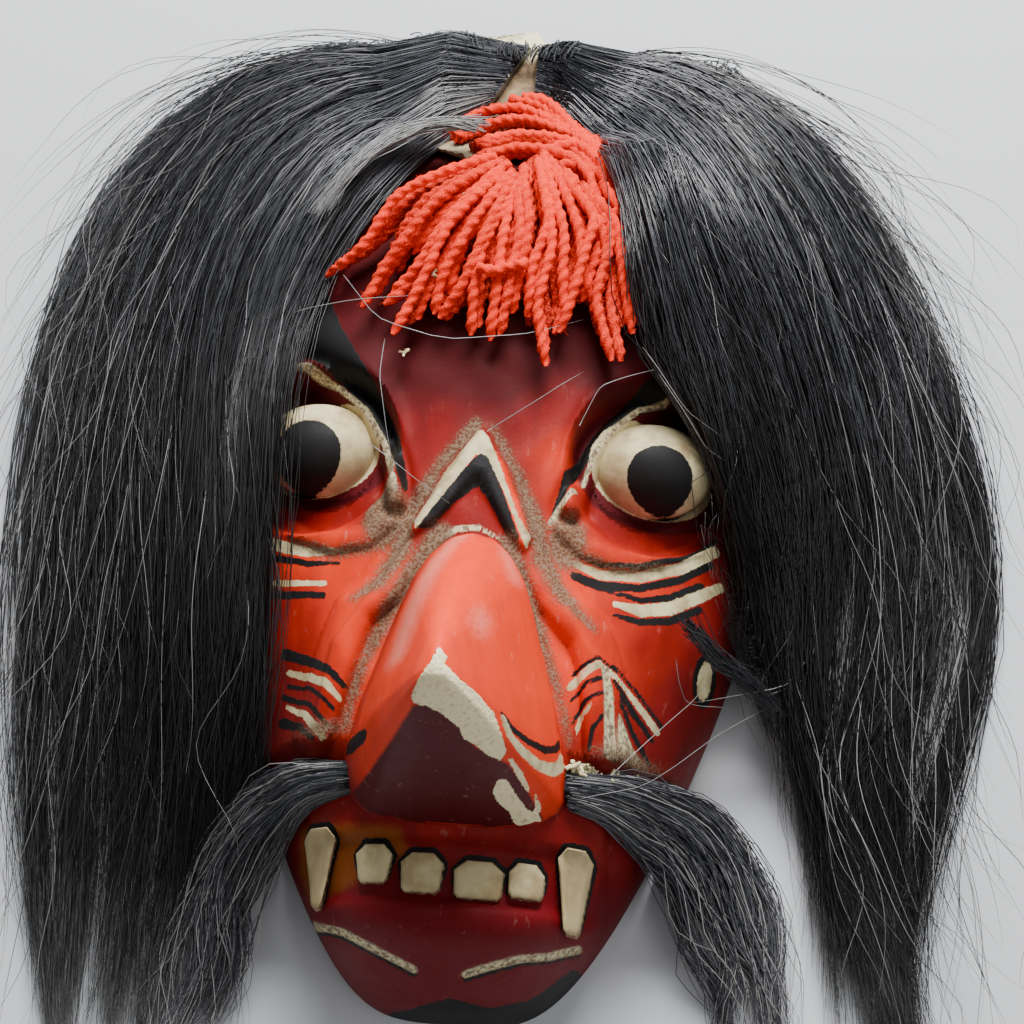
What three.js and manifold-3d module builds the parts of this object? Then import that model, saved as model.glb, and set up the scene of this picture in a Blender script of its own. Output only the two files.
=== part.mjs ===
// A carved and painted wooden dance mask of an ogre, lying on its back with the face up.
// The hollow mask, the rawhide patch on its crown, two falls of black hair, a moustache
// in two halves and a tassel of yarn are separate solids.
// Millimetres. +Z is the way the face looks, +Y runs from the chin to the crown, and
// the flat rim of the mask is at z = 0.
import * as THREE from "three";
import { mergeVertices } from "three/addons/utils/BufferGeometryUtils.js";
import Module from "manifold-3d";

const wasm = await Module();
wasm.setup();

// Mask sizes
const MASK_WIDTH = 135;
const MASK_HEIGHT = 223;
const MASK_DEPTH = 56; // from the rim's plane to the flat of the face, without the nose
const SIDE_WALL = 8;
const FRONT_WALL = 13;
const SLIT_HEIGHT = 3.7; // clear height of the slit under each eyeball
const SLIT_SLOPE = 24; // degrees that a slit climbs on its way in
const MASK_CELLS = 36; // cells across the carved front
const HOLLOW_CELLS = 14; // cells across the hollow
const FIT_CELLS = 16; // cells across the shape that hair, hide and tassel are fitted to

// Fitting
const GAP = 0.35; // between pieces that touch
const SKIN = 1.4; // how far hair and hide stand off the wood, facets included
const FACET_SHIFT = 0.16; // how far a surface may move when its small facets are merged
const FLOOR_GAP = 0.05; // hair over the plane that the mask rests on

// Rawhide patch
const HIDE_THICKNESS = 2.2;
const HIDE_FRONT = 90; // how far up the mask its front edge is
const HIDE_BACK = 131; // how far its back edge stands out past the crown

// Hair, moustache and tassel
const RIDGE_SIDES = 4; // steps across the back of a lock or a carved ridge
const HAIR_STEPS = 9; // sections along a lock
const HAIR_DEPTH = 11; // of a lock at its middle
const MOUSTACHE_DEPTH = 8;
const TASSEL_LENGTH = 66;
const TASSEL_DEPTH = 14;
const YARN_THICKNESS = 7; // one ridge of the tassel stands for a few yarns

// The face is laid out in parts: 135 across, 223 from chin to crown and 56 deep.
const PART_X = MASK_WIDTH / 135;
const PART_Y = MASK_HEIGHT / 223;
const PART_Z = MASK_DEPTH / 56;
const HALF_ACROSS = MASK_WIDTH / PART_X / 2;
const HALF_TALL = MASK_HEIGHT / PART_Y / 2;
const DEEP = MASK_DEPTH / PART_Z;

const clamp = (v, low, high) => Math.min(Math.max(v, low), high);

// 0 below from, 1 above to, and smooth between; from may be the larger.
function ease(v, from, to) {
  const t = clamp((v - from) / (to - from), 0, 1);
  return t * t * (3 - 2 * t);
}

const bell = (v, width) => Math.exp(-((v / width) ** 2));

// Straight lines between [where, value] pairs in rising order of where.
function along(pairs, v) {
  if (v <= pairs[0][0]) return pairs[0][1];
  for (let i = 1; i < pairs.length; i++) {
    const [v0, f0] = pairs[i - 1];
    const [v1, f1] = pairs[i];
    if (v <= v1) return f0 + ((f1 - f0) * (v - v0)) / (v1 - v0);
  }
  return pairs[pairs.length - 1][1];
}

// Half the mask's width at height b: wide at the temples, drawn in to the jaw.
function halfWidth(b) {
  const jaw = 3.4 * Math.log1p(Math.exp(-(b + 10.5) / 10));
  const end = Math.max(1 - Math.abs(b / HALF_TALL) ** 4, 0) ** 0.25;
  return (HALF_ACROSS - jaw) * end;
}

// The plain dome that the face is cut from. grow makes it larger all round.
function dome(a, b, grow = 0) {
  const end = Math.abs(b) / (HALF_TALL + grow);
  const side = Math.abs(a) / Math.max(halfWidth((b * HALF_TALL) / (HALF_TALL + grow)) + grow, 0.01);
  const length = Math.max(1 - end ** (b > 0 ? 4.5 : 6), 0);
  const width = Math.max(1 - side ** 2.3, 0);
  return (DEEP + grow) * Math.sqrt(length * width);
}

// Eyes: a bulging ball in a socket, with the slit to look through under it.
const EYE = { x: 39, y: 14, lift: 2.2, across: 14.4, tall: 11.2, bulge: 12.5, socket: 8 };

function socketRelief(a, b) {
  const ring = Math.hypot((Math.abs(a) - EYE.x) / 19, (b - EYE.y) / 20);
  return -EYE.socket * ease(ring, 1.08, 0.84);
}

// The brow swells over each lid and runs up to the temple.
function browRelief(a, b) {
  const x = Math.abs(a);
  const line = 8 + 38 * (1 - Math.exp(-(x - 18) / 14));
  return 2.6 * bell(b - line - 4, 8) * ease(x, 14, 24) * ease(x, 66, 52);
}

// The raised plate that starts as a chevron between the eyes and runs down beside the
// nose, as [height, how far out its edge is].
const PLATE_EDGE = [
  [-54, 34],
  [-33, 30],
  [-18, 20],
  [-4, 13.5],
  [19.5, 0],
];

function plateRelief(a, b) {
  const edge = along(PLATE_EDGE, b);
  return 2.4 * ease(Math.abs(a), edge + 2, edge - 1) * ease(b, 21, 17);
}

// Below the cheeks the wood is cut back to the jaw, and the lips swell out again.
const LEDGE = -53.5;

function jawRelief(a, b) {
  const x = Math.abs(a);
  const muzzle = -2.5 * ease(b, LEDGE, LEDGE - 8) * ease(b, -90, -72);
  const gape = -2.6 * ease(b, -73, -77) * ease(b, -90, -86) * ease(x, 40, 33);
  const lip = 4 * bell(b + 93.5, 7) * ease(x, 38, 20);
  return muzzle + gape + lip;
}

// Height of the face over the rim's plane, in parts, before its small solids are added.
function face(a, b) {
  const rim = ease(dome(a, b), 4, 22);
  const cheek = 2.2 * bell(Math.abs(a) - 43, 15) * bell(b + 28, 17);
  const relief = socketRelief(a, b) + browRelief(a, b) + plateRelief(a, b) + jawRelief(a, b);
  return dome(a, b) + rim * (relief + cheek);
}

// What hair and hide lie on: the dome with the eyes and folds as low swellings.
function shoulder(a, b, grow) {
  const eye = 7 * Math.exp(-((((Math.abs(a) - 40) / 25) ** 2 + ((b - 20) / 29) ** 2) ** 2));
  const cheek = 2 * bell(Math.abs(a) - 43, 16) * bell(b + 26, 18);
  return dome(a, b, grow) + (eye + cheek) * ease(dome(a, b), 4, 22);
}

// How far the outline lies from the middle in the direction (x, y), in parts.
function outlineReach(x, y) {
  let low = 0;
  let high = 2 * HALF_TALL;
  for (let i = 0; i < 34; i++) {
    const reach = (low + high) / 2;
    const inside = Math.abs(y * reach) < HALF_TALL && Math.abs(x * reach) < halfWidth(y * reach);
    if (inside) low = reach;
    else high = reach;
  }
  return low;
}

// 0 at the middle of the mask, 1 on its outline and more beyond it.
function spread(a, b) {
  const far = Math.hypot(a, b);
  return far < 0.01 ? 0 : far / outlineReach(a / far, b / far);
}

// A closed solid from vertices and triangles. It is turned if its faces point inwards.
function solidOf(points, faces) {
  const geometry = new THREE.BufferGeometry();
  const flat = points.flatMap((p) => [p.x, p.y, p.z]);
  geometry.setAttribute("position", new THREE.Float32BufferAttribute(flat, 3));
  geometry.setIndex(faces.flat());
  const merged = mergeVertices(geometry, 1e-4);
  const make = (triVerts) =>
    new wasm.Manifold(
      new wasm.Mesh({ numProp: 3, vertProperties: merged.attributes.position.array, triVerts }),
    );
  const made = make(new Uint32Array(merged.index.array));
  return made.volume() > 0 ? made : make(new Uint32Array(merged.index.array).reverse());
}

// A solid between the floor level and a surface over the mask's outline. The cells come
// from a square that is rounded to a disc and then pulled out to the outline; crowd is
// how far they are drawn together at the steep edge, 0 to 1.
function moulded(cells, crowd, floor, height, placed) {
  const points = [];
  const faces = [];
  const side = cells + 1;
  for (let j = 0; j < side; j++) {
    for (let i = 0; i < side; i++) {
      const s = (2 * i) / cells - 1;
      const t = (2 * j) / cells - 1;
      const x = s * Math.sqrt(1 - (t * t) / 2);
      const y = t * Math.sqrt(1 - (s * s) / 2);
      const r = Math.hypot(x, y);
      const rim = i === 0 || j === 0 || i === cells || j === cells;
      const drawn = r < 1e-9 ? 1 : THREE.MathUtils.lerp(1, Math.sin((Math.PI / 2) * Math.min(r, 1)) / r, crowd);
      const reach = r < 1e-9 ? 0 : outlineReach(x / r, y / r) * drawn;
      const [a, b] = placed(x * reach, y * reach);
      points.push(new THREE.Vector3(a, b, rim ? floor : height(a, b)));
    }
  }
  for (let j = 0; j < cells; j++) {
    for (let i = 0; i < cells; i++) {
      const [p, q, r, s] = [j * side + i, j * side + i + 1, (j + 1) * side + i + 1, (j + 1) * side + i];
      const shorter = points[p].distanceTo(points[r]) < points[q].distanceTo(points[s]);
      faces.push(...(shorter ? [[p, q, r], [p, r, s]] : [[p, q, s], [q, r, s]]));
    }
  }
  const loop = [];
  for (let i = 0; i < cells; i++) loop.push(i);
  for (let j = 0; j < cells; j++) loop.push(j * side + cells);
  for (let i = cells; i > 0; i--) loop.push(cells * side + i);
  for (let j = cells; j > 0; j--) loop.push(j * side);
  points.push(new THREE.Vector3(0, 0, floor));
  loop.forEach((p, i) => faces.push([points.length - 1, loop[(i + 1) % loop.length], p]));
  return solidOf(points, faces);
}

const inParts = (height) => (x, y) => PART_Z * height(x / PART_X, y / PART_Y);
const toMillimetres = (a, b) => [a * PART_X, b * PART_Y];

// A copy of the mask's outline, moved in by wall on every side.
function movedIn(wall) {
  const across = (MASK_WIDTH / 2 - wall) / HALF_ACROSS;
  const tall = (MASK_HEIGHT / 2 - wall) / HALF_TALL;
  return (a, b) => [a * across, b * tall];
}

function hollowSolid() {
  const placed = movedIn(SIDE_WALL);
  const [across, tall] = placed(1, 1);
  const share = (MASK_DEPTH - FRONT_WALL) / DEEP;
  return moulded(HOLLOW_CELLS, 0.9, -1, (x, y) => share * dome(x / across, y / tall) - 1, placed);
}

// The crescent under an eyeball, cut right through the wood.
function slitCutter(side) {
  const across = EYE.across * PART_X;
  const tall = EYE.tall * PART_Y;
  const crescent = new THREE.Shape();
  const points = [];
  const steps = 14;
  for (let i = 0; i <= steps; i++) {
    const angle = Math.PI * (1.12 + (0.76 * i) / steps);
    points.push(new THREE.Vector2(across * Math.cos(angle), tall * Math.sin(angle)));
  }
  const drop = (i) => SLIT_HEIGHT * Math.sin((Math.PI * i) / steps) ** 0.6;
  const lower = points.map((p, i) => new THREE.Vector2(p.x, p.y - drop(i)));
  crescent.setFromPoints([...points, ...lower.slice(1, -1).reverse()]);
  const geometry = new THREE.ExtrudeGeometry(crescent, { depth: 2 * MASK_DEPTH, bevelEnabled: false });
  geometry.translate(0, 0, -2 * MASK_DEPTH);
  geometry.rotateX(THREE.MathUtils.degToRad(-SLIT_SLOPE));
  const climb = Math.tan(THREE.MathUtils.degToRad(SLIT_SLOPE)) * 4;
  geometry.translate(side * EYE.x * PART_X, (EYE.y + EYE.lift) * PART_Y - climb, 43 * PART_Z);
  return fromGeometry(geometry);
}

function fromGeometry(geometry) {
  for (const name of ["normal", "uv"]) geometry.deleteAttribute(name);
  const merged = mergeVertices(geometry, 1e-4);
  const mesh = new wasm.Mesh({
    numProp: 3,
    vertProperties: merged.attributes.position.array,
    triVerts: new Uint32Array(merged.index.array),
  });
  return new wasm.Manifold(mesh);
}

// The filled mask with SKIN all round, which hair, hide and tassel are fitted against.
function keepOut() {
  const across = (MASK_WIDTH / 2 + SKIN) / HALF_ACROSS;
  const tall = (MASK_HEIGHT / 2 + SKIN) / HALF_TALL;
  const height = (x, y) => SKIN + PART_Z * shoulder(x / across, y / tall, 0);
  return moulded(FIT_CELLS, 0.9, -2, height, (a, b) => [a * across, b * tall]);
}

// A closed solid through rings with the same number of points.
function loft(rings) {
  const count = rings[0].length;
  const points = rings.flat();
  const faces = [];
  for (let i = 0; i + 1 < rings.length; i++) {
    for (let j = 0; j < count; j++) {
      const k = (j + 1) % count;
      const [p, q, r, s] = [i * count + j, i * count + k, (i + 1) * count + k, (i + 1) * count + j];
      faces.push([p, q, r], [p, r, s]);
    }
  }
  const last = (rings.length - 1) * count;
  for (let j = 1; j + 1 < count; j++) {
    faces.push([0, j + 1, j], [last, last + j, last + j + 1]);
  }
  return solidOf(points, faces);
}

// Height that hair falls in, from the shoulders of the mask down to the floor, in parts.
function fall(a, b) {
  const r = spread(a, b);
  const beside = 36 * clamp(1 - (r - 0.8) / 0.62, 0, 1) ** 1.35;
  return r < 1 ? Math.max(beside, shoulder(a, b, 0)) : beside;
}

// A long ridge along a route of [x, y] in parts. Its back stands over a bed, a height in
// parts for each place, and its underside is at the level floor(bed). widths are half
// widths in parts and rises are shares of depth, both as [share of the route, value].
function ridge({ route, widths, rises, depth, steps, bed, floor }, grow = 0) {
  const curve = new THREE.CatmullRomCurve3(
    route.map(([a, b]) => new THREE.Vector3(a * PART_X, b * PART_Y, 0)),
    false,
    "centripetal",
  );
  const rings = [];
  for (let i = 0; i <= steps; i++) {
    const share = i / steps;
    const centre = curve.getPointAt(share);
    const ahead = curve.getTangentAt(share);
    const across = new THREE.Vector3(ahead.y, -ahead.x, 0);
    const half = along(widths, share) * PART_X + grow;
    const seat = (p) => PART_Z * bed(p.x / PART_X, p.y / PART_Y);
    const ring = [];
    for (let k = 0; k <= RIDGE_SIDES; k++) {
      const s = (2 * k) / RIDGE_SIDES - 1;
      const p = centre.clone().addScaledVector(across, s * half);
      p.z = seat(p) + depth * (1 - 0.85 * s * s) * along(rises, share) + grow;
      ring.push(p);
    }
    for (const s of [1, -1]) {
      const p = centre.clone().addScaledVector(across, s * half);
      p.z = floor(seat(p)) - grow;
      ring.push(p);
    }
    rings.push(ring);
  }
  return loft(rings);
}

// Carved ridges of the mask, drawn on one side and mirrored: the lid over each eye, the
// rim under its slit, the fold beside the nose and the edge of the chevron.
const CARVED = [
  { route: [[20.5, 3], [22.5, 15], [28.5, 24.5], [37, 31], [47, 33], [56, 28]], depth: 3.8, widths: [[0, 0.8], [0.3, 2.2], [1, 1.6]], rises: [[0, 0.3], [0.3, 1], [1, 0.7]] },
  { route: [[21, -3.5], [29, -8.5], [39, -9], [48, -4], [54, 5]], depth: 1.8, widths: [[0, 0.8], [0.5, 1.8], [1, 0.8]], rises: [[0, 0.4], [0.5, 1], [1, 0.4]] },
  { route: [[15, -10], [20, -20], [27, -28], [30.5, -38], [33.5, -52.5]], depth: 5.2, widths: [[0, 1.5], [0.5, 4], [1, 5]], rises: [[0, 0.2], [0.6, 1], [1, 1]] },
  { route: [[0.5, 13.5], [4.5, 8], [8.8, 1], [12.5, -5]], depth: 2.6, widths: [[0, 2.6], [1, 1.6]], rises: [[0, 1], [1, 0.5]] },
];

const carvedRidges = () =>
  CARVED.map((one) => {
    const bed = (a, b) => face(a, b) - 0.6;
    const solid = ridge({ ...one, steps: 5, bed, floor: (seat) => seat - 4 });
    return solid.add(solid.mirror([1, 0, 0]));
  });

// The slot under each cheek, a ledge on its upper side and a slope on its lower one.
function ledgeCutter() {
  const rings = [];
  for (let i = 0; i <= 6; i++) {
    const x = 24 + (34 * i) / 6;
    const deep = 7 * ease(x, 62, 48);
    const bed = face(x, LEDGE - 4);
    const section = [[LEDGE, bed + 9], [LEDGE, bed - deep], [LEDGE - 4, bed - deep], [LEDGE - 13, bed + 3]];
    rings.push(section.map(([y, z]) => new THREE.Vector3(x * PART_X, y * PART_Y, z * PART_Z)));
  }
  const slot = loft(rings);
  return slot.add(slot.mirror([1, 0, 0]));
}

// Four front teeth and two tusks, as [middle, top, bottom, half width above and below].
const TEETH = [
  [-30, -73, -89.5, 3.8, 1.4],
  [-17, -76, -85, 4.2, 3.6],
  [-6, -77.5, -86.5, 4.7, 4.2],
  [6.5, -78.5, -87, 5.2, 4.6],
  [17, -77.5, -85.5, 3.9, 3.4],
  [27.5, -73.5, -92, 4.2, 1.5],
];

function toothSolids() {
  return TEETH.map(([middle, top, bottom, above, below]) => {
    const corner = 1.2;
    const outline = [
      [middle - above, top], [middle - below, bottom + corner], [middle - below + corner, bottom],
      [middle + below - corner, bottom], [middle + below, bottom + corner], [middle + above, top],
    ];
    const ring = (grow, lift) =>
      outline.map(([x, y]) => {
        const centred = [middle + (x - middle) * grow, (top + bottom) / 2 + (y - (top + bottom) / 2) * grow];
        const z = face(centred[0], Math.max(centred[1], -84)) + lift;
        return new THREE.Vector3(centred[0] * PART_X, centred[1] * PART_Y, z * PART_Z);
      });
    return loft([ring(1, -6), ring(1, 2.6), ring(0.7, 4.2)]);
  });
}

// The nose: a long wedge with a rounded ridge and a flat underside. Its outline on the
// face is given clockwise from the root; towards the tip it shrinks to a blunt point.
const NOSE_TIP = { x: -2, y: -49, z: 112 };
const NOSE_FOOT = 50;
const NOSE_OUTLINE = [
  [0, -1.5], [5.5, -3.2], [10, -7.5], [13.6, -13.5], [16.8, -23], [20, -35], [22.8, -46],
  [24.8, -57], [24, -66], [18, -71], [8, -73], [-8, -73], [-18, -71], [-24, -66],
  [-25.8, -57], [-23.8, -46], [-20.6, -35], [-17, -23], [-13.6, -13.5], [-10, -7.5], [-5.5, -3.2],
];
const NOSE_RINGS = [[0, 1], [0.3, 0.79], [0.6, 0.54], [0.85, 0.29], [0.95, 0.17], [1, 0.07]];

function noseSolid() {
  return loft(
    NOSE_RINGS.map(([share, size]) =>
      NOSE_OUTLINE.map(([x, y]) => {
        const near = share ** 0.94;
        const px = NOSE_TIP.x * near + x * size;
        const py = NOSE_TIP.y + (y - NOSE_TIP.y) * size;
        const pz = NOSE_FOOT + (NOSE_TIP.z - NOSE_FOOT) * share;
        return new THREE.Vector3(px * PART_X, py * PART_Y, pz * PART_Z);
      }),
    ),
  );
}

function eyeballSolid(side) {
  const ball = new THREE.SphereGeometry(1, 16, 8);
  ball.rotateX(Math.PI / 2);
  ball.scale(EYE.across * PART_X, EYE.tall * PART_Y, EYE.bulge * PART_Z);
  const z = dome(EYE.x, EYE.y) - EYE.socket;
  ball.translate(side * EYE.x * PART_X, (EYE.y + EYE.lift) * PART_Y, z * PART_Z);
  return fromGeometry(ball);
}

const union = (solids) => solids.reduce((joined, solid) => joined.add(solid));

// The mask's front before it is hollowed out.
function carvedBlock() {
  const block = moulded(MASK_CELLS, 0.4, 0, inParts(face), toMillimetres).subtract(ledgeCutter());
  return union([block, ...carvedRidges(), ...toothSolids(), noseSolid(), eyeballSolid(-1), eyeballSolid(1)]);
}

function maskSolid() {
  return carvedBlock().subtract(hollowSolid()).subtract(slitCutter(-1)).subtract(slitCutter(1));
}

// The falls of hair, from the parting outwards and down. Left is -X.
const START = [[0, 8], [0.3, 13], [0.6, 13]];
const OUTER = [...START, [0.85, 12], [1, 6]];
const LONG = [[0, 2.7], [0.12, 1.9], [0.3, 1.1], [0.6, 0.9], [1, 0.4]];
const HAIR_LEFT = [
  {
    route: [[-4, 118], [-44, 126], [-78, 113], [-102, 86], [-111, 46], [-114, 4], [-113, -38], [-106, -78], [-96, -112]],
    widths: OUTER,
    rises: LONG,
  },
  {
    route: [[-4, 115], [-40, 118], [-70, 102], [-91, 72], [-98, 30], [-100, -10], [-99, -50], [-92, -84], [-84, -120]],
    widths: OUTER,
    rises: LONG,
  },
  {
    route: [[-4, 111], [-34, 111], [-60, 92], [-76, 60], [-80, 20], [-81, -20], [-79, -60], [-82, -92], [-92, -122]],
    widths: OUTER,
    rises: LONG,
  },
  {
    route: [[-5, 106], [-28, 100], [-47, 80], [-57, 52], [-60, 20], [-59, -12], [-60, -40], [-66, -66], [-74, -88]],
    widths: [[0, 5], [0.3, 9], [0.6, 12], [0.85, 10], [1, 6]],
    rises: [[0, 2.4], [0.15, 1.4], [0.3, 0.8], [1, 0.5]],
  },
];
const HAIR_RIGHT = [
  {
    route: [[4, 120], [40, 127], [72, 115], [94, 92], [106, 58], [112, 20], [114, -18], [112, -58], [110, -90], [108, -120]],
    widths: OUTER,
    rises: LONG,
  },
  {
    route: [[4, 117], [34, 121], [60, 106], [80, 80], [92, 48], [99, 8], [99, -32], [99, -70], [98, -108]],
    widths: [...START, [0.85, 9], [1, 5]],
    rises: LONG,
  },
  {
    route: [[4, 112], [30, 112], [50, 93], [64, 66], [74, 34], [82, 0], [82, -32], [85, -62], [92, -88], [88, -116]],
    widths: [[0, 8], [0.3, 12], [0.6, 12], [0.8, 8], [1, 5]],
    rises: LONG,
  },
  {
    route: [[6, 106], [26, 98], [38, 78], [47, 54], [58, 28], [67, 2], [73, -22], [77, -48], [82, -72], [88, -94]],
    widths: [[0, 5], [0.3, 9], [0.6, 9], [0.75, 6], [1, 4]],
    rises: [[0, 2.4], [0.15, 1.4], [0.3, 0.8], [1, 0.5]],
  },
];
const MOUSTACHE_LEFT = {
  route: [[-25, -59], [-40, -61], [-53, -71], [-61, -86], [-67, -102], [-70, -120]],
  widths: [[0, 5], [0.4, 9], [0.75, 9], [1, 4]],
  rises: [[0, 0.6], [0.5, 1.2], [1, 1]],
  depth: MOUSTACHE_DEPTH,
};
const MOUSTACHE_RIGHT = {
  route: [[25, -60], [41, -62], [56, -71], [67, -85], [74, -101], [75, -120]],
  widths: [[0, 5], [0.4, 8], [0.75, 7], [1, 4]],
  rises: [[0, 0.6], [0.5, 0.9], [1, 0.8]],
  depth: MOUSTACHE_DEPTH,
};

// The body that is left when the crumbs of a cut are dropped.
function largest(solid) {
  return solid.decompose().reduce((best, body) => (body.volume() > best.volume() ? body : best));
}


// A lock of hair fills the room from the floor up to where it falls.
function lock(one, grow = 0) {
  const depth = one.depth ?? HAIR_DEPTH;
  return ridge({ ...one, depth, steps: HAIR_STEPS, bed: fall, floor: () => FLOOR_GAP }, grow);
}

// The rawhide patch: a curved sheet from the top of the forehead out past the crown.
function hide(grow = 0) {
  const rings = [];
  const steps = 9;
  for (let i = 0; i <= steps; i++) {
    const share = i / steps;
    const y = HIDE_FRONT + (HIDE_BACK - HIDE_FRONT) * share;
    const [left, right] = [-15 - 25 * share, 16 + 3 * share];
    const top = [];
    const under = [];
    for (let k = 0; k <= 8; k++) {
      const x = left + ((right - left) * k) / 8;
      const bend = Math.min(y, 101);
      const seat = SKIN + GAP + PART_Z * (shoulder(x, bend, 0) - 0.45 * (y - bend));
      top.push(new THREE.Vector3(x * PART_X, y * PART_Y, seat + HIDE_THICKNESS + grow));
      under.push(new THREE.Vector3(x * PART_X, y * PART_Y, seat - grow));
    }
    rings.push([...top, ...under.reverse()]);
  }
  return loft(rings);
}

// The tassel: yarns bound at the crown that fan out over the forehead, as one ridged body.
const TASSEL_KNOT = { x: 6, y: 100 };
const TASSEL_SPREAD = [-42, 30]; // degrees either side of straight down

function tasselSolid() {
  const [from, to] = TASSEL_SPREAD.map(THREE.MathUtils.degToRad);
  const across = TASSEL_LENGTH * (to - from) * 0.8;
  const ridges = Math.max(4, Math.round(across / YARN_THICKNESS));
  const steps = 2 * ridges;
  const rings = [];
  for (let j = 0; j <= steps; j++) {
    const angle = from + ((to - from) * j) / steps;
    const valley = j % 2 === 0;
    const end = TASSEL_LENGTH * (valley ? 0.93 : 1) * (1 - 0.1 * Math.sin(j * 1.7) ** 2);
    const top = [];
    const under = [];
    for (const share of [0.06, 0.2, 0.4, 0.6, 0.8, 1]) {
      const x = TASSEL_KNOT.x * PART_X + Math.sin(angle) * end * share;
      const y = TASSEL_KNOT.y * PART_Y - Math.cos(angle) * end * share;
      const seat = PART_Z * shoulder(x / PART_X, y / PART_Y, 0);
      const flank = 1 - 0.5 * Math.abs((2 * j) / steps - 1) ** 3;
      const body = TASSEL_DEPTH * flank * Math.sqrt(Math.sin(Math.PI * (0.12 + 0.76 * share)));
      top.push(new THREE.Vector3(x, y, seat + SKIN + body - (valley ? 1.6 : 0)));
      under.push(new THREE.Vector3(x, y, seat - 4));
    }
    rings.push([...top, ...under.reverse()]);
  }
  return loft(rings);
}

const LACQUER = { color: 0xa81c18, roughness: 0.42, metalness: 0 };
const RAWHIDE = { color: 0xd9d09a, roughness: 0.8, metalness: 0 };
const HORSEHAIR = { color: 0x17171a, roughness: 0.45, metalness: 0 };
const WOOL = { color: 0xd92a1a, roughness: 0.9, metalness: 0 };

function named(name, solid, finish) {
  const { vertProperties, triVerts } = solid.simplify(FACET_SHIFT).getMesh();
  const geometry = new THREE.BufferGeometry();
  geometry.setAttribute("position", new THREE.BufferAttribute(vertProperties, 3));
  geometry.setIndex(new THREE.BufferAttribute(triVerts, 1));
  geometry.computeVertexNormals();
  const mesh = new THREE.Mesh(geometry, new THREE.MeshStandardMaterial(finish));
  mesh.name = name;
  return mesh;
}

const wood = keepOut();
const hideSolid = hide().subtract(wood);
const hideRoom = hide(GAP);
const tassel = largest(tasselSolid().subtract(wood).subtract(hideRoom));
const tasselRoom = tassel.translate([0, 0, GAP]).add(tassel.translate([GAP, 0, 0])).add(tassel.translate([-GAP, 0, 0]));

function hairSolid(locks, moustache) {
  const mass = union(locks.map((one) => lock(one)));
  return largest(mass.subtract(wood).subtract(hideRoom).subtract(tasselRoom).subtract(lock(moustache, GAP)));
}

// A moustache half fills the slot under the cheek and then lies on the side of the mask.
function moustacheSolid(route) {
  const block = carvedBlock();
  const moves = [[0, 0, GAP], [0, -GAP, 0], [GAP, 0, 0], [-GAP, 0, 0]];
  return largest(moves.reduce((left, move) => left.subtract(block.translate(move)), lock(route)));
}

const part = new THREE.Group();
part.add(
  named("mask", maskSolid(), LACQUER),
  named("scalp_hide", hideSolid, RAWHIDE),
  named("hair_left", hairSolid(HAIR_LEFT, MOUSTACHE_LEFT), HORSEHAIR),
  named("hair_right", hairSolid(HAIR_RIGHT, MOUSTACHE_RIGHT), HORSEHAIR),
  named("moustache_left", moustacheSolid(MOUSTACHE_LEFT), HORSEHAIR),
  named("moustache_right", moustacheSolid(MOUSTACHE_RIGHT), HORSEHAIR),
  named("tassel", tassel, WOOL),
);

// The origin is under the middle of the whole, on the plane that the mask rests on.
const box = new THREE.Box3().setFromObject(part);
const middle = box.getCenter(new THREE.Vector3());
part.position.set(-middle.x, -middle.y, -box.min.z);
part.updateMatrixWorld(true);

export default part;
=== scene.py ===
import math

import bmesh
import bpy
import numpy as np
from bpy.props import FloatProperty, FloatVectorProperty, IntProperty, PointerProperty
from mathutils import Matrix, Vector


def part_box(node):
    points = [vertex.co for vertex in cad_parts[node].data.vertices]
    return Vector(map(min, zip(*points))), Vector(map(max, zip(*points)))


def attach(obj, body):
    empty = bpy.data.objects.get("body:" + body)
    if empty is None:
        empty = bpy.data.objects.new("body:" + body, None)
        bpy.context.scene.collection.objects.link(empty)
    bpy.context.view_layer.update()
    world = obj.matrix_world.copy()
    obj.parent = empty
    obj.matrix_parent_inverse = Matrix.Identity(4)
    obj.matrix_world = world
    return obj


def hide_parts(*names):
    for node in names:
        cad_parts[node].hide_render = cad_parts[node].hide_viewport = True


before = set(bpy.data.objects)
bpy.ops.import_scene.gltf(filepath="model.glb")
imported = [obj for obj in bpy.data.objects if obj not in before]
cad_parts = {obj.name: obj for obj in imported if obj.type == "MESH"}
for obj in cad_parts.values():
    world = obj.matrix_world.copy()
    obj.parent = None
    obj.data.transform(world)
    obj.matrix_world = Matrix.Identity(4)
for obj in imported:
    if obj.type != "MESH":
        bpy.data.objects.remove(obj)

bl_info = {
    "name": "Topeng mask",
    "version": (1, 0, 0),
    "blender": (4, 5, 0),
    "location": "View3D > Sidebar > Topeng",
    "description": "Builds a carved, painted ogre mask with hair, moustache and yarn tassel",
    "category": "Object",
}

# The mask's own frame: millimetres, x = 0 on its middle, z = 0 on the rim's plane.
LOW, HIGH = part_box("mask")
OFFSET = np.array([(LOW[0] + HIGH[0]) / 2, (LOW[1] + HIGH[1]) / 2, 0.0])
HALF_ACROSS = 67.5
HALF_TALL = 111.5
DEEP = 56.0


def row(points):
    """Millimetres in the mask's frame to metres in the row frame."""
    return np.asarray(points, float) * 0.001 + OFFSET


def srgb(code):
    """The linear colour of a hex sRGB code."""
    channels = [int(code[i : i + 2], 16) / 255 for i in (1, 3, 5)]
    return tuple(c / 12.92 if c <= 0.04045 else ((c + 0.055) / 1.055) ** 2.4 for c in channels)


# Shape functions, for arrays of places in millimetres


def ease(v, start, end):
    """Goes smoothly from 0 at start to 1 at end."""
    t = np.clip((v - start) / (end - start), 0, 1)
    return t * t * (3 - 2 * t)


def bell(v, width):
    """A rounded hump that is 1 at v = 0."""
    return np.exp(-((v / width) ** 2))


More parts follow.
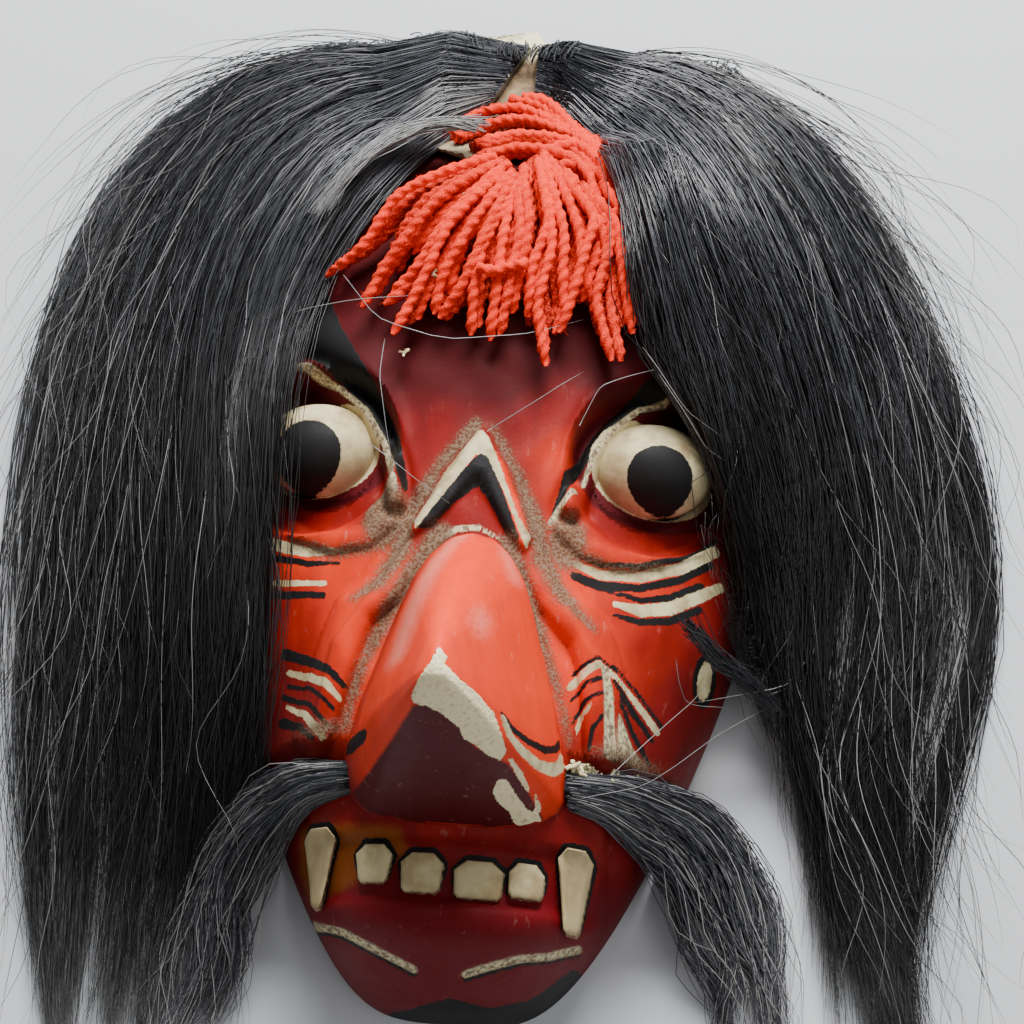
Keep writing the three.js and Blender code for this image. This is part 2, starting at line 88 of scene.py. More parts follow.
def half_width(b):
    """Half the width of the mask at height b on the face, narrower at the jaw."""
    jaw = 3.4 * np.log1p(np.exp(-(b + 10.5) / 10))
    end = np.maximum(1 - np.abs(b / HALF_TALL) ** 4, 0) ** 0.25
    return (HALF_ACROSS - jaw) * end


def dome(a, b, grow=0.0):
    """Height of the plain carved shell, before any features."""
    end = np.abs(b) / (HALF_TALL + grow)
    width = np.maximum(half_width(b * HALF_TALL / (HALF_TALL + grow)) + grow, 0.01)
    side = np.abs(a) / width
    length = np.maximum(1 - end ** np.where(b > 0, 4.5, 6.0), 0)
    return (DEEP + grow) * np.sqrt(length * np.maximum(1 - side**2.3, 0))


def outline_reach(x, y):
    """How far the outline lies from the middle in each direction."""
    low = np.zeros_like(x)
    high = np.full_like(x, 2 * HALF_TALL)
    for _ in range(30):
        reach = (low + high) / 2
        inside = (np.abs(y * reach) < HALF_TALL) & (np.abs(x * reach) < half_width(y * reach))
        low = np.where(inside, reach, low)
        high = np.where(inside, high, reach)
    return low


def spread(a, b):
    """How far out a place lies, 1 on the outline of the mask."""
    far = np.maximum(np.hypot(a, b), 0.01)
    return far / outline_reach(a / far, b / far)


def line_distance(x, y, points, widths=None):
    """Distance to a line, and the width of the line at the nearest place on it."""
    best = np.full(x.shape, 1e9)
    width = np.zeros(x.shape)
    widths = [0.0] * len(points) if widths is None else widths
    for (x0, y0), (x1, y1), w0, w1 in zip(points, points[1:], widths, widths[1:]):
        dx, dy = x1 - x0, y1 - y0
        t = np.clip(((x - x0) * dx + (y - y0) * dy) / (dx * dx + dy * dy + 1e-9), 0, 1)
        d = np.hypot(x - x0 - t * dx, y - y0 - t * dy)
        near = d < best
        best = np.where(near, d, best)
        width = np.where(near, w0 + (w1 - w0) * t, width)
    return best, width


def stroke(x, y, points, widths):
    """Signed distance into a brush stroke, positive inside. widths is one or one each."""
    if np.isscalar(widths):
        widths = [widths] * len(points)
    d, w = line_distance(x, y, points, widths)
    return w / 2 - d


def area(x, y, points):
    """Signed distance into a closed outline, positive inside."""
    d, _ = line_distance(x, y, points + points[:1])
    inside = np.zeros(x.shape, bool)
    for (x0, y0), (x1, y1) in zip(points, points[1:] + points[:1]):
        if y0 == y1:
            continue
        crosses = (y0 > y) != (y1 > y)
        inside ^= crosses & (x < (x1 - x0) * (y - y0) / (y1 - y0) + x0)
    return np.where(inside, d, -d)


def oval(x, y, centre, radii, turn=0.0):
    """Signed distance into an oval, positive inside. turn is in degrees."""
    c, s = math.cos(math.radians(turn)), math.sin(math.radians(turn))
    dx, dy = x - centre[0], y - centre[1]
    u, v = c * dx + s * dy, c * dy - s * dx
    return (1 - np.hypot(u / radii[0], v / radii[1])) * min(radii)


# The carving

EYE_X, EYE_Y = 39.0, 14.0
BALL_Y = EYE_Y + 2.2
LID_LEFT = [(-19, 1), (-20.5, 8.5), (-23.2, 16), (-28.6, 24.6), (-35.5, 30.4), (-43.5, 34.4), (-52, 35.5),
    (-59, 33)]
LID_RIGHT = [(21, 2), (23.4, 9.2), (25.2, 16.6), (29, 23.4), (35.3, 29.8), (41.5, 32.4), (50, 31), (58, 26)]
RIM_LEFT = [(-20, -3), (-25, -7.6), (-33, -8.6), (-42, -5), (-49, 1), (-54, 8)]
RIM_RIGHT = [(20, -3), (25, -7), (33, -8.6), (42, -6), (50, -0.5), (56, 8)]
FOLD_LEFT = [(-14.5, -6), (-17.5, -13), (-20.5, -20), (-26, -25), (-29, -34), (-31, -42), (-33.5, -53)]
FOLD_RIGHT = [(13, -6), (16.5, -12), (20.5, -20), (27.5, -27.5), (30.5, -35), (31.8, -43), (33, -53)]
CHEVRON = [(-0.9, 19), (-8, 9), (-14.6, -4.6), (-14.6, -8), (-8.5, -4), (-0.5, 7.2), (7.4, -6.2), (11.4, -10),
    (13, -7), (10.4, 0.5), (6, 10.6)]
CREASE_LEFT = [(-33, -92), (-30.5, -93.2), (-24, -95), (-18.4, -97.5), (-12, -100.2), (-6.7, -102.3)]
CREASE_RIGHT = [(4.5, -102.5), (10, -100.6), (16.5, -98.4), (23, -97), (29.5, -94)]
LEDGE = -53.5
PLATE = [(-54, 34), (-33, 30), (-18, 20), (-4, 13.5), (19.5, 0)]

# Teeth: middle, top, bottom, half width above and below.
TEETH = [
    (-30.5, -73, -90, 4.2, 1.5),
    (-17, -76.5, -85, 4.3, 3.4),
    (-6, -78, -86.8, 4.8, 4.3),
    (6.6, -79, -87.3, 5.5, 5.2),
    (17, -78.5, -86.2, 3.9, 3.8),
    (27.5, -74, -92.3, 4.0, 1.9),
]


def ridge(x, y, points, width, height):
    """A rounded bead along a line."""
    d, _ = line_distance(x, y, points)
    return height * np.sqrt(np.maximum(1 - (d / width) ** 2, 0))


def tooth_outline(tooth, grow=0.0):
    """The outline of a tooth, rounded at the gum and square at the bite."""
    middle, top, bottom, above, below = tooth
    return [
        (middle - above - grow, top - 2.2),
        (middle - above * 0.5 - grow, top + grow),
        (middle + above * 0.5 + grow, top + grow),
        (middle + above + grow, top - 2.2),
        (middle + below + grow, bottom + 1 - grow),
        (middle + below - 0.8, bottom - grow),
        (middle - below + 0.8, bottom - grow),
        (middle - below - grow, bottom + 1 - grow),
    ]


def face(a, b):
    """Height of the carved front over the rim's plane, without nose, eyeballs and teeth."""
    x = np.abs(a)
    base = dome(a, b)
    inside = ease(base, 4, 22)
    socket = -8.5 * ease(np.hypot((x - EYE_X) / 19.5, (b - EYE_Y) / 20), 1.05, 0.88)
    line = 8 + 38 * (1 - np.exp(-(x - 18) / 14))
    brow = 2.6 * bell(b - line - 4, 8) * ease(x, 14, 24) * ease(x, 66, 52)
    where = [p[0] for p in PLATE]
    edge = np.interp(b, where, [p[1] for p in PLATE])
    plate = 2.6 * ease(x, edge + 1.2, edge - 1.2) * ease(b, 21, 17)
    cheek = 2.2 * bell(x - 43, 15) * bell(b + 28, 17)
    muzzle = -2.5 * ease(b, LEDGE, LEDGE - 8) * ease(b, -90, -72)
    gape = -2.8 * ease(b, -73.5, -76.5) * ease(b, -90, -86.5) * ease(x, 40, 35)
    lip = 4.2 * bell(b + 94, 6.5) * ease(x, 38, 20) - 0.8 * bell(x, 5) * bell(b + 92, 5)
    relief = socket + brow + plate + cheek + muzzle + gape + lip
    for lid in (LID_LEFT, LID_RIGHT):
        relief = relief + ridge(a, b, lid, 2.3, 3.6)
        d, _ = line_distance(a, b, lid)
        round_eye = ease(np.hypot((x - EYE_X) / 19, (b - EYE_Y) / 20), 0.7, 1.0)
        relief = relief - 1.2 * bell(d - 3.6, 1.2) * round_eye
    for rim in (RIM_LEFT, RIM_RIGHT):
        relief = relief + ridge(a, b, rim, 2.6, 1.8)
    for fold in (FOLD_LEFT, FOLD_RIGHT):
        strength = ease(b, -8, -26)
        relief = relief + ridge(a, b, fold, 5.5, 4.2) * strength
    relief = relief + 2.0 * ease(area(a, b, CHEVRON), -0.5, 0.7)
    for crease in (CREASE_LEFT, CREASE_RIGHT):
        d, _ = line_distance(a, b, crease)
        relief = relief - 1.0 * bell(d, 0.7)
    hand = 0.22 * np.sin(a * 0.41 + 1.3 * np.sin(b * 0.17)) * np.sin(b * 0.33 + 0.8 * np.sin(a * 0.21))
    return base + inside * (relief + hand)


# The nose shrinks from its outline on the face to a blunt tip.
NOSE_TIP = (-2.0, -49.0, 112.0)
NOSE_FOOT = 50.0
NOSE_OUTLINE = [
    (0, -1.5), (5.5, -3.2), (10, -7.5), (13.6, -13.5), (16.8, -23), (20, -35), (22.8, -46),
    (24.8, -57), (24, -66), (18, -71), (8, -73), (-8, -73), (-18, -71), (-24, -66),
    (-25.8, -57), (-23.8, -46), (-20.6, -35), (-17, -23), (-13.6, -13.5), (-10, -7.5), (-5.5, -3.2),
]  # fmt: skip
NOSE_SIZES = [(0, 1), (0.3, 0.79), (0.6, 0.54), (0.85, 0.29), (0.95, 0.17), (1, 0.07)]


def nose_reach(angle):
    """How far the nose's foot lies from its tip, seen from above, at each angle."""
    corners = np.array(NOSE_OUTLINE, float)
    closed = np.vstack([corners, corners[:1]])
    dense = np.concatenate([np.linspace(p, q, 24, endpoint=False) for p, q in zip(closed, closed[1:])])
    weights = np.hanning(21)
    kernel = weights / weights.sum()
    smooth = [np.convolve(np.r_[c[-10:], c, c[:10]], kernel, "valid") for c in dense.T]
    dx, dy = smooth[0], smooth[1] - NOSE_TIP[1]
    turn = np.arctan2(dy, dx)
    order = np.argsort(turn)
    return np.interp(angle, turn[order], np.hypot(dx, dy)[order], period=2 * math.pi)


def nose_height(a, b):
    """Height of the nose over the rim's plane, and far below it outside its foot."""
    x, y = np.asarray(a, float), np.asarray(b, float) - NOSE_TIP[1]
    shares, sizes = np.array(NOSE_SIZES).T
    share = np.full(x.shape, 0.5)
    for _ in range(6):
        px = x - NOSE_TIP[0] * share**0.94
        size = np.hypot(px, y) / nose_reach(np.arctan2(y, px))
        share = np.interp(size, sizes[::-1], shares[::-1])
    height = NOSE_FOOT + (NOSE_TIP[2] - NOSE_FOOT) * share
    return np.where(size > 1, -1.0, height)


def shoulder(a, b, grow=0.0):
    """The mask without its small features, as the hair feels it."""
    eye = 7 * np.exp(-((((np.abs(a) - 40) / 25) ** 2 + ((b - 20) / 29) ** 2) ** 2))
    cheek = 2 * bell(np.abs(a) - 43, 16) * bell(b + 26, 18)
    base = dome(a, b, grow)
    return base + (eye + cheek) * ease(base, 4, 22)


def fall(a, b):
    """Height that hair falls in, from the mask's shoulders down to the table."""
    r = spread(a, b)
    beside = 36 * np.clip(1 - (r - 0.8) / 0.62, 0, 1) ** 1.35
    return np.where(r < 1, np.maximum(beside, shoulder(a, b) + 1.4), beside)


# Mesh helpers


def finish_mesh(name, bm, smooth=40.0):
    """Turns a bmesh into an object. Edges sharper than smooth degrees stay crisp."""
    bmesh.ops.recalc_face_normals(bm, faces=bm.faces)
    mesh = bpy.data.meshes.new(name)
    bm.to_mesh(mesh)
    bm.free()
    obj = bpy.data.objects.new(name, mesh)
    bpy.context.scene.collection.objects.link(obj)
    if smooth:
        mesh.shade_smooth()
        mesh.set_sharp_from_angle(angle=math.radians(smooth))
    return obj


def tube(name, rings, smooth=40.0):
    """A closed body through rings, an array of (rings, points round, 3)."""
    count, around = rings.shape[:2]
    bm = bmesh.new()
    bmesh.ops.create_cone(bm, cap_ends=True, segments=around, radius1=1, radius2=1, depth=2)
    upright = [e for e in bm.edges if abs(e.verts[0].co.z - e.verts[1].co.z) > 1]
    if count > 2:
        bmesh.ops.subdivide_edges(bm, edges=upright, cuts=count - 2, use_grid_fill=True)
    for v in bm.verts:
        i = round((v.co.z + 1) / 2 * (count - 1))
        k = round(math.atan2(v.co.y, v.co.x) / (2 * math.pi) * around) % around
        v.co = rings[i, k]
    return finish_mesh(name, bm, smooth)


def moulded(name, cells, crowd, floor, height, across=HALF_ACROSS, tall=HALF_TALL):
    """A closed body from the floor level up to height(x, y) inside the mask's outline."""
    bm = bmesh.new()
    bmesh.ops.create_grid(bm, x_segments=cells, y_segments=cells, size=1)
    flat = np.array([v.co[:2] for v in bm.verts])
    s, t = flat[:, 0], flat[:, 1]
    x, y = s * np.sqrt(1 - t * t / 2), t * np.sqrt(1 - s * s / 2)
    r = np.maximum(np.hypot(x, y), 1e-9)
    drawn = 1 + crowd * (np.sin(math.pi / 2 * np.minimum(r, 1)) / r - 1)
    reach = outline_reach(x / r, y / r) * drawn
    a, b = x * reach * across / HALF_ACROSS, y * reach * tall / HALF_TALL
    rim = np.maximum(np.abs(s), np.abs(t)) > 1 - 1e-6
    z = np.where(rim, floor, height(a, b))
    for v, place in zip(bm.verts, row(np.stack([a, b, z], 1))):
        v.co = place
    edges = [e for e in bm.edges if e.is_boundary]
    bmesh.ops.edgeloop_fill(bm, edges=edges)
    return finish_mesh(name, bm)


def cut(obj, other, operation):
    """Joins other to obj or cuts it away, for good."""
    change = obj.modifiers.new(operation.title(), "BOOLEAN")
    change.operation = operation
    change.solver = "MANIFOLD"
    change.object = other
    result = bpy.data.meshes.new_from_object(obj.evaluated_get(bpy.context.evaluated_depsgraph_get()))
    obj.modifiers.clear()
    old = obj.data
    obj.data = result
    bpy.data.meshes.remove(old)
    bpy.data.objects.remove(other)
    if not obj.data.polygons:
        raise RuntimeError(f"{obj.name}: nothing is left after {operation}")


def adopt(obj, node, material):
    """Makes a finished mesh the piece that is shown in place of a CAD node."""
    obj.data.materials.clear()
    obj.data.materials.append(material)
    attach(obj, "root")
    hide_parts(node)
    return obj


def coordinates(obj):
    """The places of all vertices, in metres."""
    flat = np.empty(len(obj.data.vertices) * 3, np.float32)
    obj.data.vertices.foreach_get("co", flat)
    return flat.reshape(-1, 3).astype(float)


def paint(obj, name, values):
    """Stores a value at each vertex for a material to read."""
    layer = obj.data.attributes.new(name, "FLOAT", "POINT")
    layer.data.foreach_set("value", np.asarray(values, np.float32))


# Material helpers


def node(tree, kind, values=None, **settings):
    """Adds a node. values are for its inputs, and one that is a socket is linked."""
    made = tree.nodes.new(kind)
    for key, value in settings.items():
        setattr(made, key, value)
    for key, value in (values or {}).items():
        if isinstance(value, bpy.types.NodeSocket):
            tree.links.new(value, made.inputs[key])
        else:
            made.inputs[key].default_value = value
    return made


def new_material(name):
    material = bpy.data.materials.new(name)
    material.use_nodes = True
    tree = material.node_tree
    return material, tree, tree.nodes["Principled BSDF"]


def noise(tree, size_mm, detail=3.0, roughness=0.55, stretch=None):
    """Noise over object coordinates whose blotches are size_mm across."""
    place = tree.nodes.get("Place") or node(tree, "ShaderNodeTexCoord", name="Place")
    vector = place.outputs["Object"]
    if stretch:
        vector = node(tree, "ShaderNodeMapping", {"Vector": vector, "Scale": stretch}).outputs[0]
    values = {"Vector": vector, "Scale": 1000 / size_mm, "Detail": detail, "Roughness": roughness}
    return node(tree, "ShaderNodeTexNoise", values).outputs["Fac"]


def math_node(tree, operation, *values, clamp=False):
    """One step of arithmetic on sockets and numbers."""
    made = node(tree, "ShaderNodeMath", dict(enumerate(values)), operation=operation, use_clamp=clamp)
    return made.outputs[0]


def layer_of(tree, name):
    """Reads a value that paint has stored."""
    return node(tree, "ShaderNodeAttribute", attribute_name=name).outputs["Fac"]


def step(tree, value, low, high):
    """Goes from 0 to 1 as value goes from low to high."""
    values = {"Value": value, "From Min": low, "From Max": high}
    return node(tree, "ShaderNodeMapRange", values, interpolation_type="SMOOTHSTEP").outputs[0]


def mix(tree, factor, a, b):
    """Goes from a to b, each a socket or a colour, as factor goes from 0 to 1."""
    values = {0: factor, 6: a, 7: b}
    for key in (6, 7):
        if not isinstance(values[key], bpy.types.NodeSocket):
            values[key] = (*values[key], 1)
    return node(tree, "ShaderNodeMix", values, data_type="RGBA").outputs[2]


# Sizes and colours


def colour(name, code):
    """A colour that a user can change, from its hex sRGB code."""
    note = f"Colour of the {name.lower()}"
    return FloatVectorProperty(name=name, description=note, subtype="COLOR", size=3, default=srgb(code))


class TopengSizes(bpy.types.PropertyGroup):
    """Sizes of the mask's fine work."""

    wall: FloatProperty(name="Side wall", description="Wall at the rim", default=0.008, unit="LENGTH")
    front_wall: FloatProperty(
        name="Front wall", description="Wood behind the flat of the face", default=0.013, unit="LENGTH"
    )
    slit: FloatProperty(
        name="Slit", description="Clear height of the looking slits", default=0.0037, unit="LENGTH"
    )
    hair: FloatProperty(name="Hair", description="Thickness of one hair", default=0.00032, unit="LENGTH")
    strands: IntProperty(name="Strands", description="Hairs in each quarter of the hair", default=1160)
    yarn: FloatProperty(name="Yarn", description="Thickness of one yarn", default=0.0025, unit="LENGTH")
    cells: IntProperty(name="Cells", description="Cells across the carved front", default=230)


class TopengColours(bpy.types.PropertyGroup):
    """Colours of the paint, hair, hide and yarn."""

    # Bright, deep and dark red are lit and shaded copies of one red paint, mixed by painted light and shade and
    # by real blotches in the paint.
    red: colour("Bright red", "#f03c16")
    deep: colour("Deep red", "#861512")
    dark: colour("Dark red", "#480a0e")
    # Dark red-brown: the nose underside's own paint deepened as painted shade, and painted shade round the
    # eyeballs.
    maroon: colour("Maroon", "#541016")
    crimson: colour("Crimson", "#6a0c14")
    ink: colour("Black paint", "#1c1b1b")
    cream: colour("Cream", "#d9cda0")
    tan: colour("Tan", "#a8926a")
    ochre: colour("Ochre", "#8a4d16")
    chip: colour("Bare wood", "#fff0c0")
    # Pale pink for scuffed paint, also used for a painted highlight on the nose.
    rubbed_and_highlight: colour("Rubbed paint and painted highlight", "#f6c2ae")
    dust: colour("Dust", "#83705c")
    timber: colour("Old wood", "#5d4430")
    hair: colour("Hair", "#080808")
    grey: colour("Grey hair", "#8d8c8a")
    # Lighter hair: each hair's own varied tone, and painted sheen on the crown and moustache.
    sheen: colour("Lighter hair", "#4b4c52")
    yarn: colour("Yarn", "#f4290f")
    # Yarn in painted shade, deep in the tassel.
    yarn_in_shade: colour("Yarn in the depth", "#8c100a")
    yarn_light: colour("Fluff of the yarn", "#ff5a38")
    hide: colour("Rawhide", "#8a7350")
    hide_edge: colour("Rawhide at its edge", "#e3dcae")
    floor: colour("Floor", "#cfd1d4")


# Paint, as shapes on the face seen from the front. Widths are in millimetres.

CREAM = [
    ("area", [(-0.9, 18.3), (-7.5, 8.8), (-13.9, -4.6), (-13.2, -7), (-12.4, -6), (-8.8, -0.8), (-1.2, 11.4),
        (0.6, 11.2), (5.4, 4), (9.8, -5.5), (11.8, -9.6), (12.8, -7), (9.4, -2.2), (4.6, 9.3), (1.3, 16.6)]),
    ("line", [(23.3, -11), (28.7, -12.6), (37.8, -11.6), (46.9, -7.4), (55, -0.4)], [1.6, 2.2, 2.4, 2.4, 2.6]),
    ("line", [(32.5, -18.8), (38.3, -19.4), (45.1, -17.2), (52.1, -12.1), (57, -8)], [1.2, 2.8, 3, 2.6, 2]),
    ("line", [(-54, -5), (-44.9, -8.7), (-38.3, -10.8), (-29.8, -10.9)], [2.6, 2.6, 2.2, 0.8]),
    ("line", [(-52, -15.6), (-43.4, -17.6), (-33.8, -18.4)], [1.6, 1.5, 1.2]),
    ("line", [(23.7, -39.6), (27, -36.2), (30.1, -34.1), (33, -36)], [1.7, 1.8, 1.6, 1]),
    ("line", [(25.8, -49.5), (26.6, -46), (28.8, -43)], [0.8, 1.1, 0.6]),
    ("line", [(32.2, -34.8), (37.2, -38.6), (43.8, -44.8)], [0.8, 1.3, 1.8]),
    ("line", [(-40.9, -38.2), (-35.7, -39.8), (-31, -42.2), (-27.2, -45.8)], [1.3, 1.7, 1.8, 1.2]),
    ("line", [(-41, -45.5), (-35.5, -48.6), (-30.5, -54)], [0.9, 1.6, 1.8]),
    ("oval", (54.5, -30), (1.7, 4.4), -8),
    ("oval", (-60, -20), (1.8, 4.6), 8),
]
INK = [
    ("line", [(23, -8.8), (28.7, -10.4), (37.8, -9.3), (46.9, -5), (55, 2.2)], [0.6, 1, 1.3, 1.4, 1.6]),
    ("line", [(23, -13.8), (28.7, -15.2), (37.8, -14.2), (46.9, -10), (54, -4)], [2.2, 2.4, 1.8, 1.8, 1.8]),
    ("line", [(31, -16.2), (38.3, -17), (45.1, -14.6), (52.1, -9.6)], [0.8, 1.3, 1.8, 1.6]),
    ("line", [(32.6, -21.4), (38.3, -22), (45.1, -20.2), (52.1, -15.2)], [1, 1.6, 1.8, 1.6]),
    ("line", [(-54, -8.6), (-44.9, -11.6), (-38.3, -13.4), (-31, -13.6)], [1.4, 1.6, 1.5, 0.8]),
    ("line", [(-52, -18.2), (-43.4, -20.3), (-34, -21.2)], [1.6, 1.9, 1.6]),
    ("line", [(24, -36.9), (29.6, -32.6), (33.4, -34.6)], [0.8, 1, 0.8]),
    ("line", [(24.2, -42.4), (27.5, -38.6), (31.5, -36.6)], [0.7, 1.1, 1]),
    ("line", [(24.8, -47.5), (27.2, -42.5), (31.4, -40)], [0.7, 1.1, 0.9]),
    ("line", [(28.8, -53), (29.2, -48.5), (31.6, -45)], [0.9, 1.1, 0.8]),
    ("line", [(33, -33.6), (38.4, -37.4), (44.8, -43.4)], [0.8, 1, 1]),
    ("line", [(33.4, -36.8), (37.6, -41.6), (42.8, -47)], [1, 1.5, 1.2]),
    ("line", [(35, -41), (38.8, -47.4), (42.5, -52)], [1, 1.3, 1.3]),
    ("line", [(-42, -34), (-35.7, -36.2), (-30.5, -39.3), (-26.2, -43)], [2.6, 2.2, 1.8, 1.2]),
    ("line", [(-41, -41), (-34.5, -42.8), (-28.4, -48)], [1, 1, 1]),
    ("line", [(-42, -43.3), (-34.6, -46.3), (-29.4, -51.8)], [1.4, 1.1, 1]),
    ("line", [(-42, -48.8), (-36.6, -51), (-33, -54.2)], [2.2, 1.6, 1.2]),
    ("oval", (54.5, -30), (2.9, 6), -8),
    ("oval", (-60, -20), (3, 6.2), 8),
    ("line", [(17, -1.6), (20, 10), (26, 21), (33.4, 29.6), (42, 36.2), (52, 40),
        (62, 40)], [1.2, 2.2, 3, 3.8, 6.5, 9, 12]),
    ("line", [(-17, 4), (-20.4, 15), (-26, 25), (-32.4, 33), (-40, 41), (-47, 50),
        (-54, 56)], [1.4, 3, 4.2, 6, 10, 15, 20]),
    ("line", [(x, y - 0.9) for x, y in CREASE_LEFT], 1.1),
    ("line", [(x, y - 0.9) for x, y in CREASE_RIGHT], 1.1),
    ("area", [(-40, -99), (-33.5, -99.5), (-30.5, -102), (-25.6, -107), (-16.3, -110.4), (-8.4, -109.6),
        (1.1, -107.2), (10, -108.4), (18.9, -105.8), (24.3, -101.6), (28, -98), (40, -97), (44, -130),
        (-44, -130)]),
]
INK_OVER = [
    ("area", [(-0.4, 11.8), (-4, 7.2), (-13.4, -6.8), (-9.6, -5.6), (-5.2, 0.2), (-0.3, 4.6), (2.4, 1.4),
        (6.4, -5.4), (9, -10.4), (10.2, -7.2), (5.6, 3.4), (1.4, 11.4)]),
]
TAN = [
    ("line", LID_LEFT[1:7], [2.0, 1.5, 1.3, 1.4, 1.7, 1.5]),
    ("line", [(-19.6, 3), (-20, 6)], [2.6, 2]),
    ("line", LID_RIGHT[1:6], [1.1, 1.1, 1.2, 1.3, 1.2]),
    ("line", [(16.6, -2.2), (18.5, 1.5), (21.6, 6.5)], [1.2, 1.8, 1.4]),
    ("line", [(-8.6, -8.6), (-4, -5.8), (1, -5.2), (6, -7.6)], [1, 1.6, 1.4, 0.8]),
    ("line", [(31.2, -34.8), (32.4, -40), (33, -47), (33.6, -53)], [1.6, 2.2, 2.4, 3]),
    ("area", [(34.8, -43), (38.4, -49.5), (41.4, -53), (35, -53)]),
    ("line", CREASE_LEFT, 1.5),
    ("line", CREASE_RIGHT, 1.5),
]
DUST = [
    ("line", [(-2, 20), (-9, 10.5), (-15.6, -3), (-17, -12), (-20.5, -19), (-26, -23)], [3, 3, 4.5, 5.5, 5, 2]),
    ("line", [(-8, -7), (-13.5, -17), (-19, -28), (-23.5, -40), (-26, -52)], [5.5, 5, 4, 3, 2]),
    ("line", [(2, 19.5), (8.4, 9), (13.6, -3), (15.6, -11), (21, -20), (28, -26)], [2, 2.5, 4.5, 5, 4, 2]),
    ("line", [(8, -8), (12.6, -19), (17, -30), (21.5, -42), (24.5, -52)], [4, 3.5, 3, 2.4, 1.6]),
    ("oval", (-21, -3), (5, 8), 0),
    ("oval", (21, -6), (4.5, 7), 0),
    ("line", [(-24, -10), (-33, -11.4), (-42, -8)], [3, 2.4, 2]),
    ("line", [(24, -9), (33, -11), (42, -8.4)], [2, 2, 1.4]),
    ("oval", (38, -53), (7, 1.8), 0),
    ("oval", (-30, -52), (6, 1.6), 0),
]

# Paint and breaks on the nose
NOSE_INK = [
    ("line", [(10.9, -53.3), (13.1, -55.4), (16.2, -56.2), (19.4, -56.1), (21.6, -54.5),
        (22.9, -50.7)], [0.7, 1.2, 1.5, 1.6, 1.3, 0.8]),
    ("line", [(-26, -55.8), (-22.6, -56.9), (-19.6, -57)], [2.6, 3.6, 3]),
]
NOSE_CREAM = [
    ("line", [(11.1, -54), (12.6, -56.9), (15.2, -58.7), (18.4, -59.9), (20.9, -59.4), (22.8, -57.7),
        (24, -51.3)], [1, 1.5, 2, 2.4, 2.6, 1.8, 1]),
]
NOSE_CHIPS = [
    ("area", [(-1.8, -44.5), (0.2, -46.8), (-0.2, -48.3), (2.8, -50.5), (6.4, -51.9), (9.4, -54.1),
        (11.1, -57.6), (12.1, -59.9), (10.9, -61.7), (8.4, -61.5), (5.9, -60.2), (3.4, -59.6), (2.9, -58.3),
        (-0.8, -56.4), (-3.3, -55.7), (-6.5, -55), (-6.8, -53.8), (-4.5, -50.4), (-2.7, -48)]),
    ("area", [(10.2, -64.6), (12.2, -64.3), (14.1, -66.4), (16.7, -68.2), (18.7, -68.2), (19.7, -69.4),
        (17.4, -70.9), (14, -71.2), (12.7, -69.3), (10.1, -67.8), (9.2, -66.6)]),
    ("line", [(13, -61.2), (14.7, -62.8), (16.4, -64.8)], [1, 1.5, 1]),
    ("line", [(18.2, -65.6), (18.7, -67.2), (18, -68.6)], [0.8, 1.3, 1]),
]
# Pale scuffed streaks on the nose's ridges; the small oval is a painted highlight.
NOSE_BLOOM_AND_HIGHLIGHT = [
    ("line", [(-3, -8), (-7, -18), (-10, -30), (-12, -42)], [2, 4, 5, 5]),
    ("line", [(7, -10), (10, -18)], [1.5, 2]),
    ("oval", (5.2, -35), (1.2, 2.2), 0),
]
# The nose's underside is painted dark: partly its own paint, partly painted shade.
NOSE_UNDER = [(-2.4, -54.5), (-6.5, -55.4), (-11.7, -60), (-17.6, -63.8), (-24.4, -67), (-26, -76), (24, -76),
    (20.4, -69.4), (16, -64.7), (12.8, -61.9), (5.9, -60.5), (2, -57)]

# Lines that the hair follows, from the parting to the tips, innermost first
HAIR_LEFT = [
    [(-7, 110), (-13, 103), (-19, 95), (-27, 84), (-35, 71), (-43, 56), (-47, 38), (-49, 23), (-49, 9),
        (-48, -5), (-49, -18), (-46, -32), (-47, -44), (-50, -57), (-53, -72), (-58, -92)],
    [(-4, 117), (-20, 115), (-37, 105), (-50, 89), (-59, 72), (-64, 54), (-66, 33), (-64, 13), (-63, -7),
        (-63, -28), (-63, -46), (-64, -65), (-67, -83), (-68, -102), (-70, -124)],
    [(-2, 123), (-27, 124), (-47, 120), (-64, 108), (-75, 92), (-82, 70), (-85, 46), (-85, 22), (-83, -4),
        (-80, -28), (-79, -50), (-78, -72), (-78, -93), (-79, -112), (-79, -128)],
    [(-1, 128), (-33, 132), (-56, 130), (-76, 123), (-89, 109), (-99, 89), (-104, 63), (-104, 36), (-102, 10),
        (-99, -16), (-97, -41), (-95, -66), (-95, -90), (-92, -113), (-90, -129)],
    [(2, 132), (-31, 138), (-60, 137), (-82, 129), (-98, 113), (-110, 92), (-117, 65), (-118, 38), (-118, 9),
        (-116, -17), (-113, -42), (-109, -67), (-102, -90), (-97, -113), (-93, -128)],
]
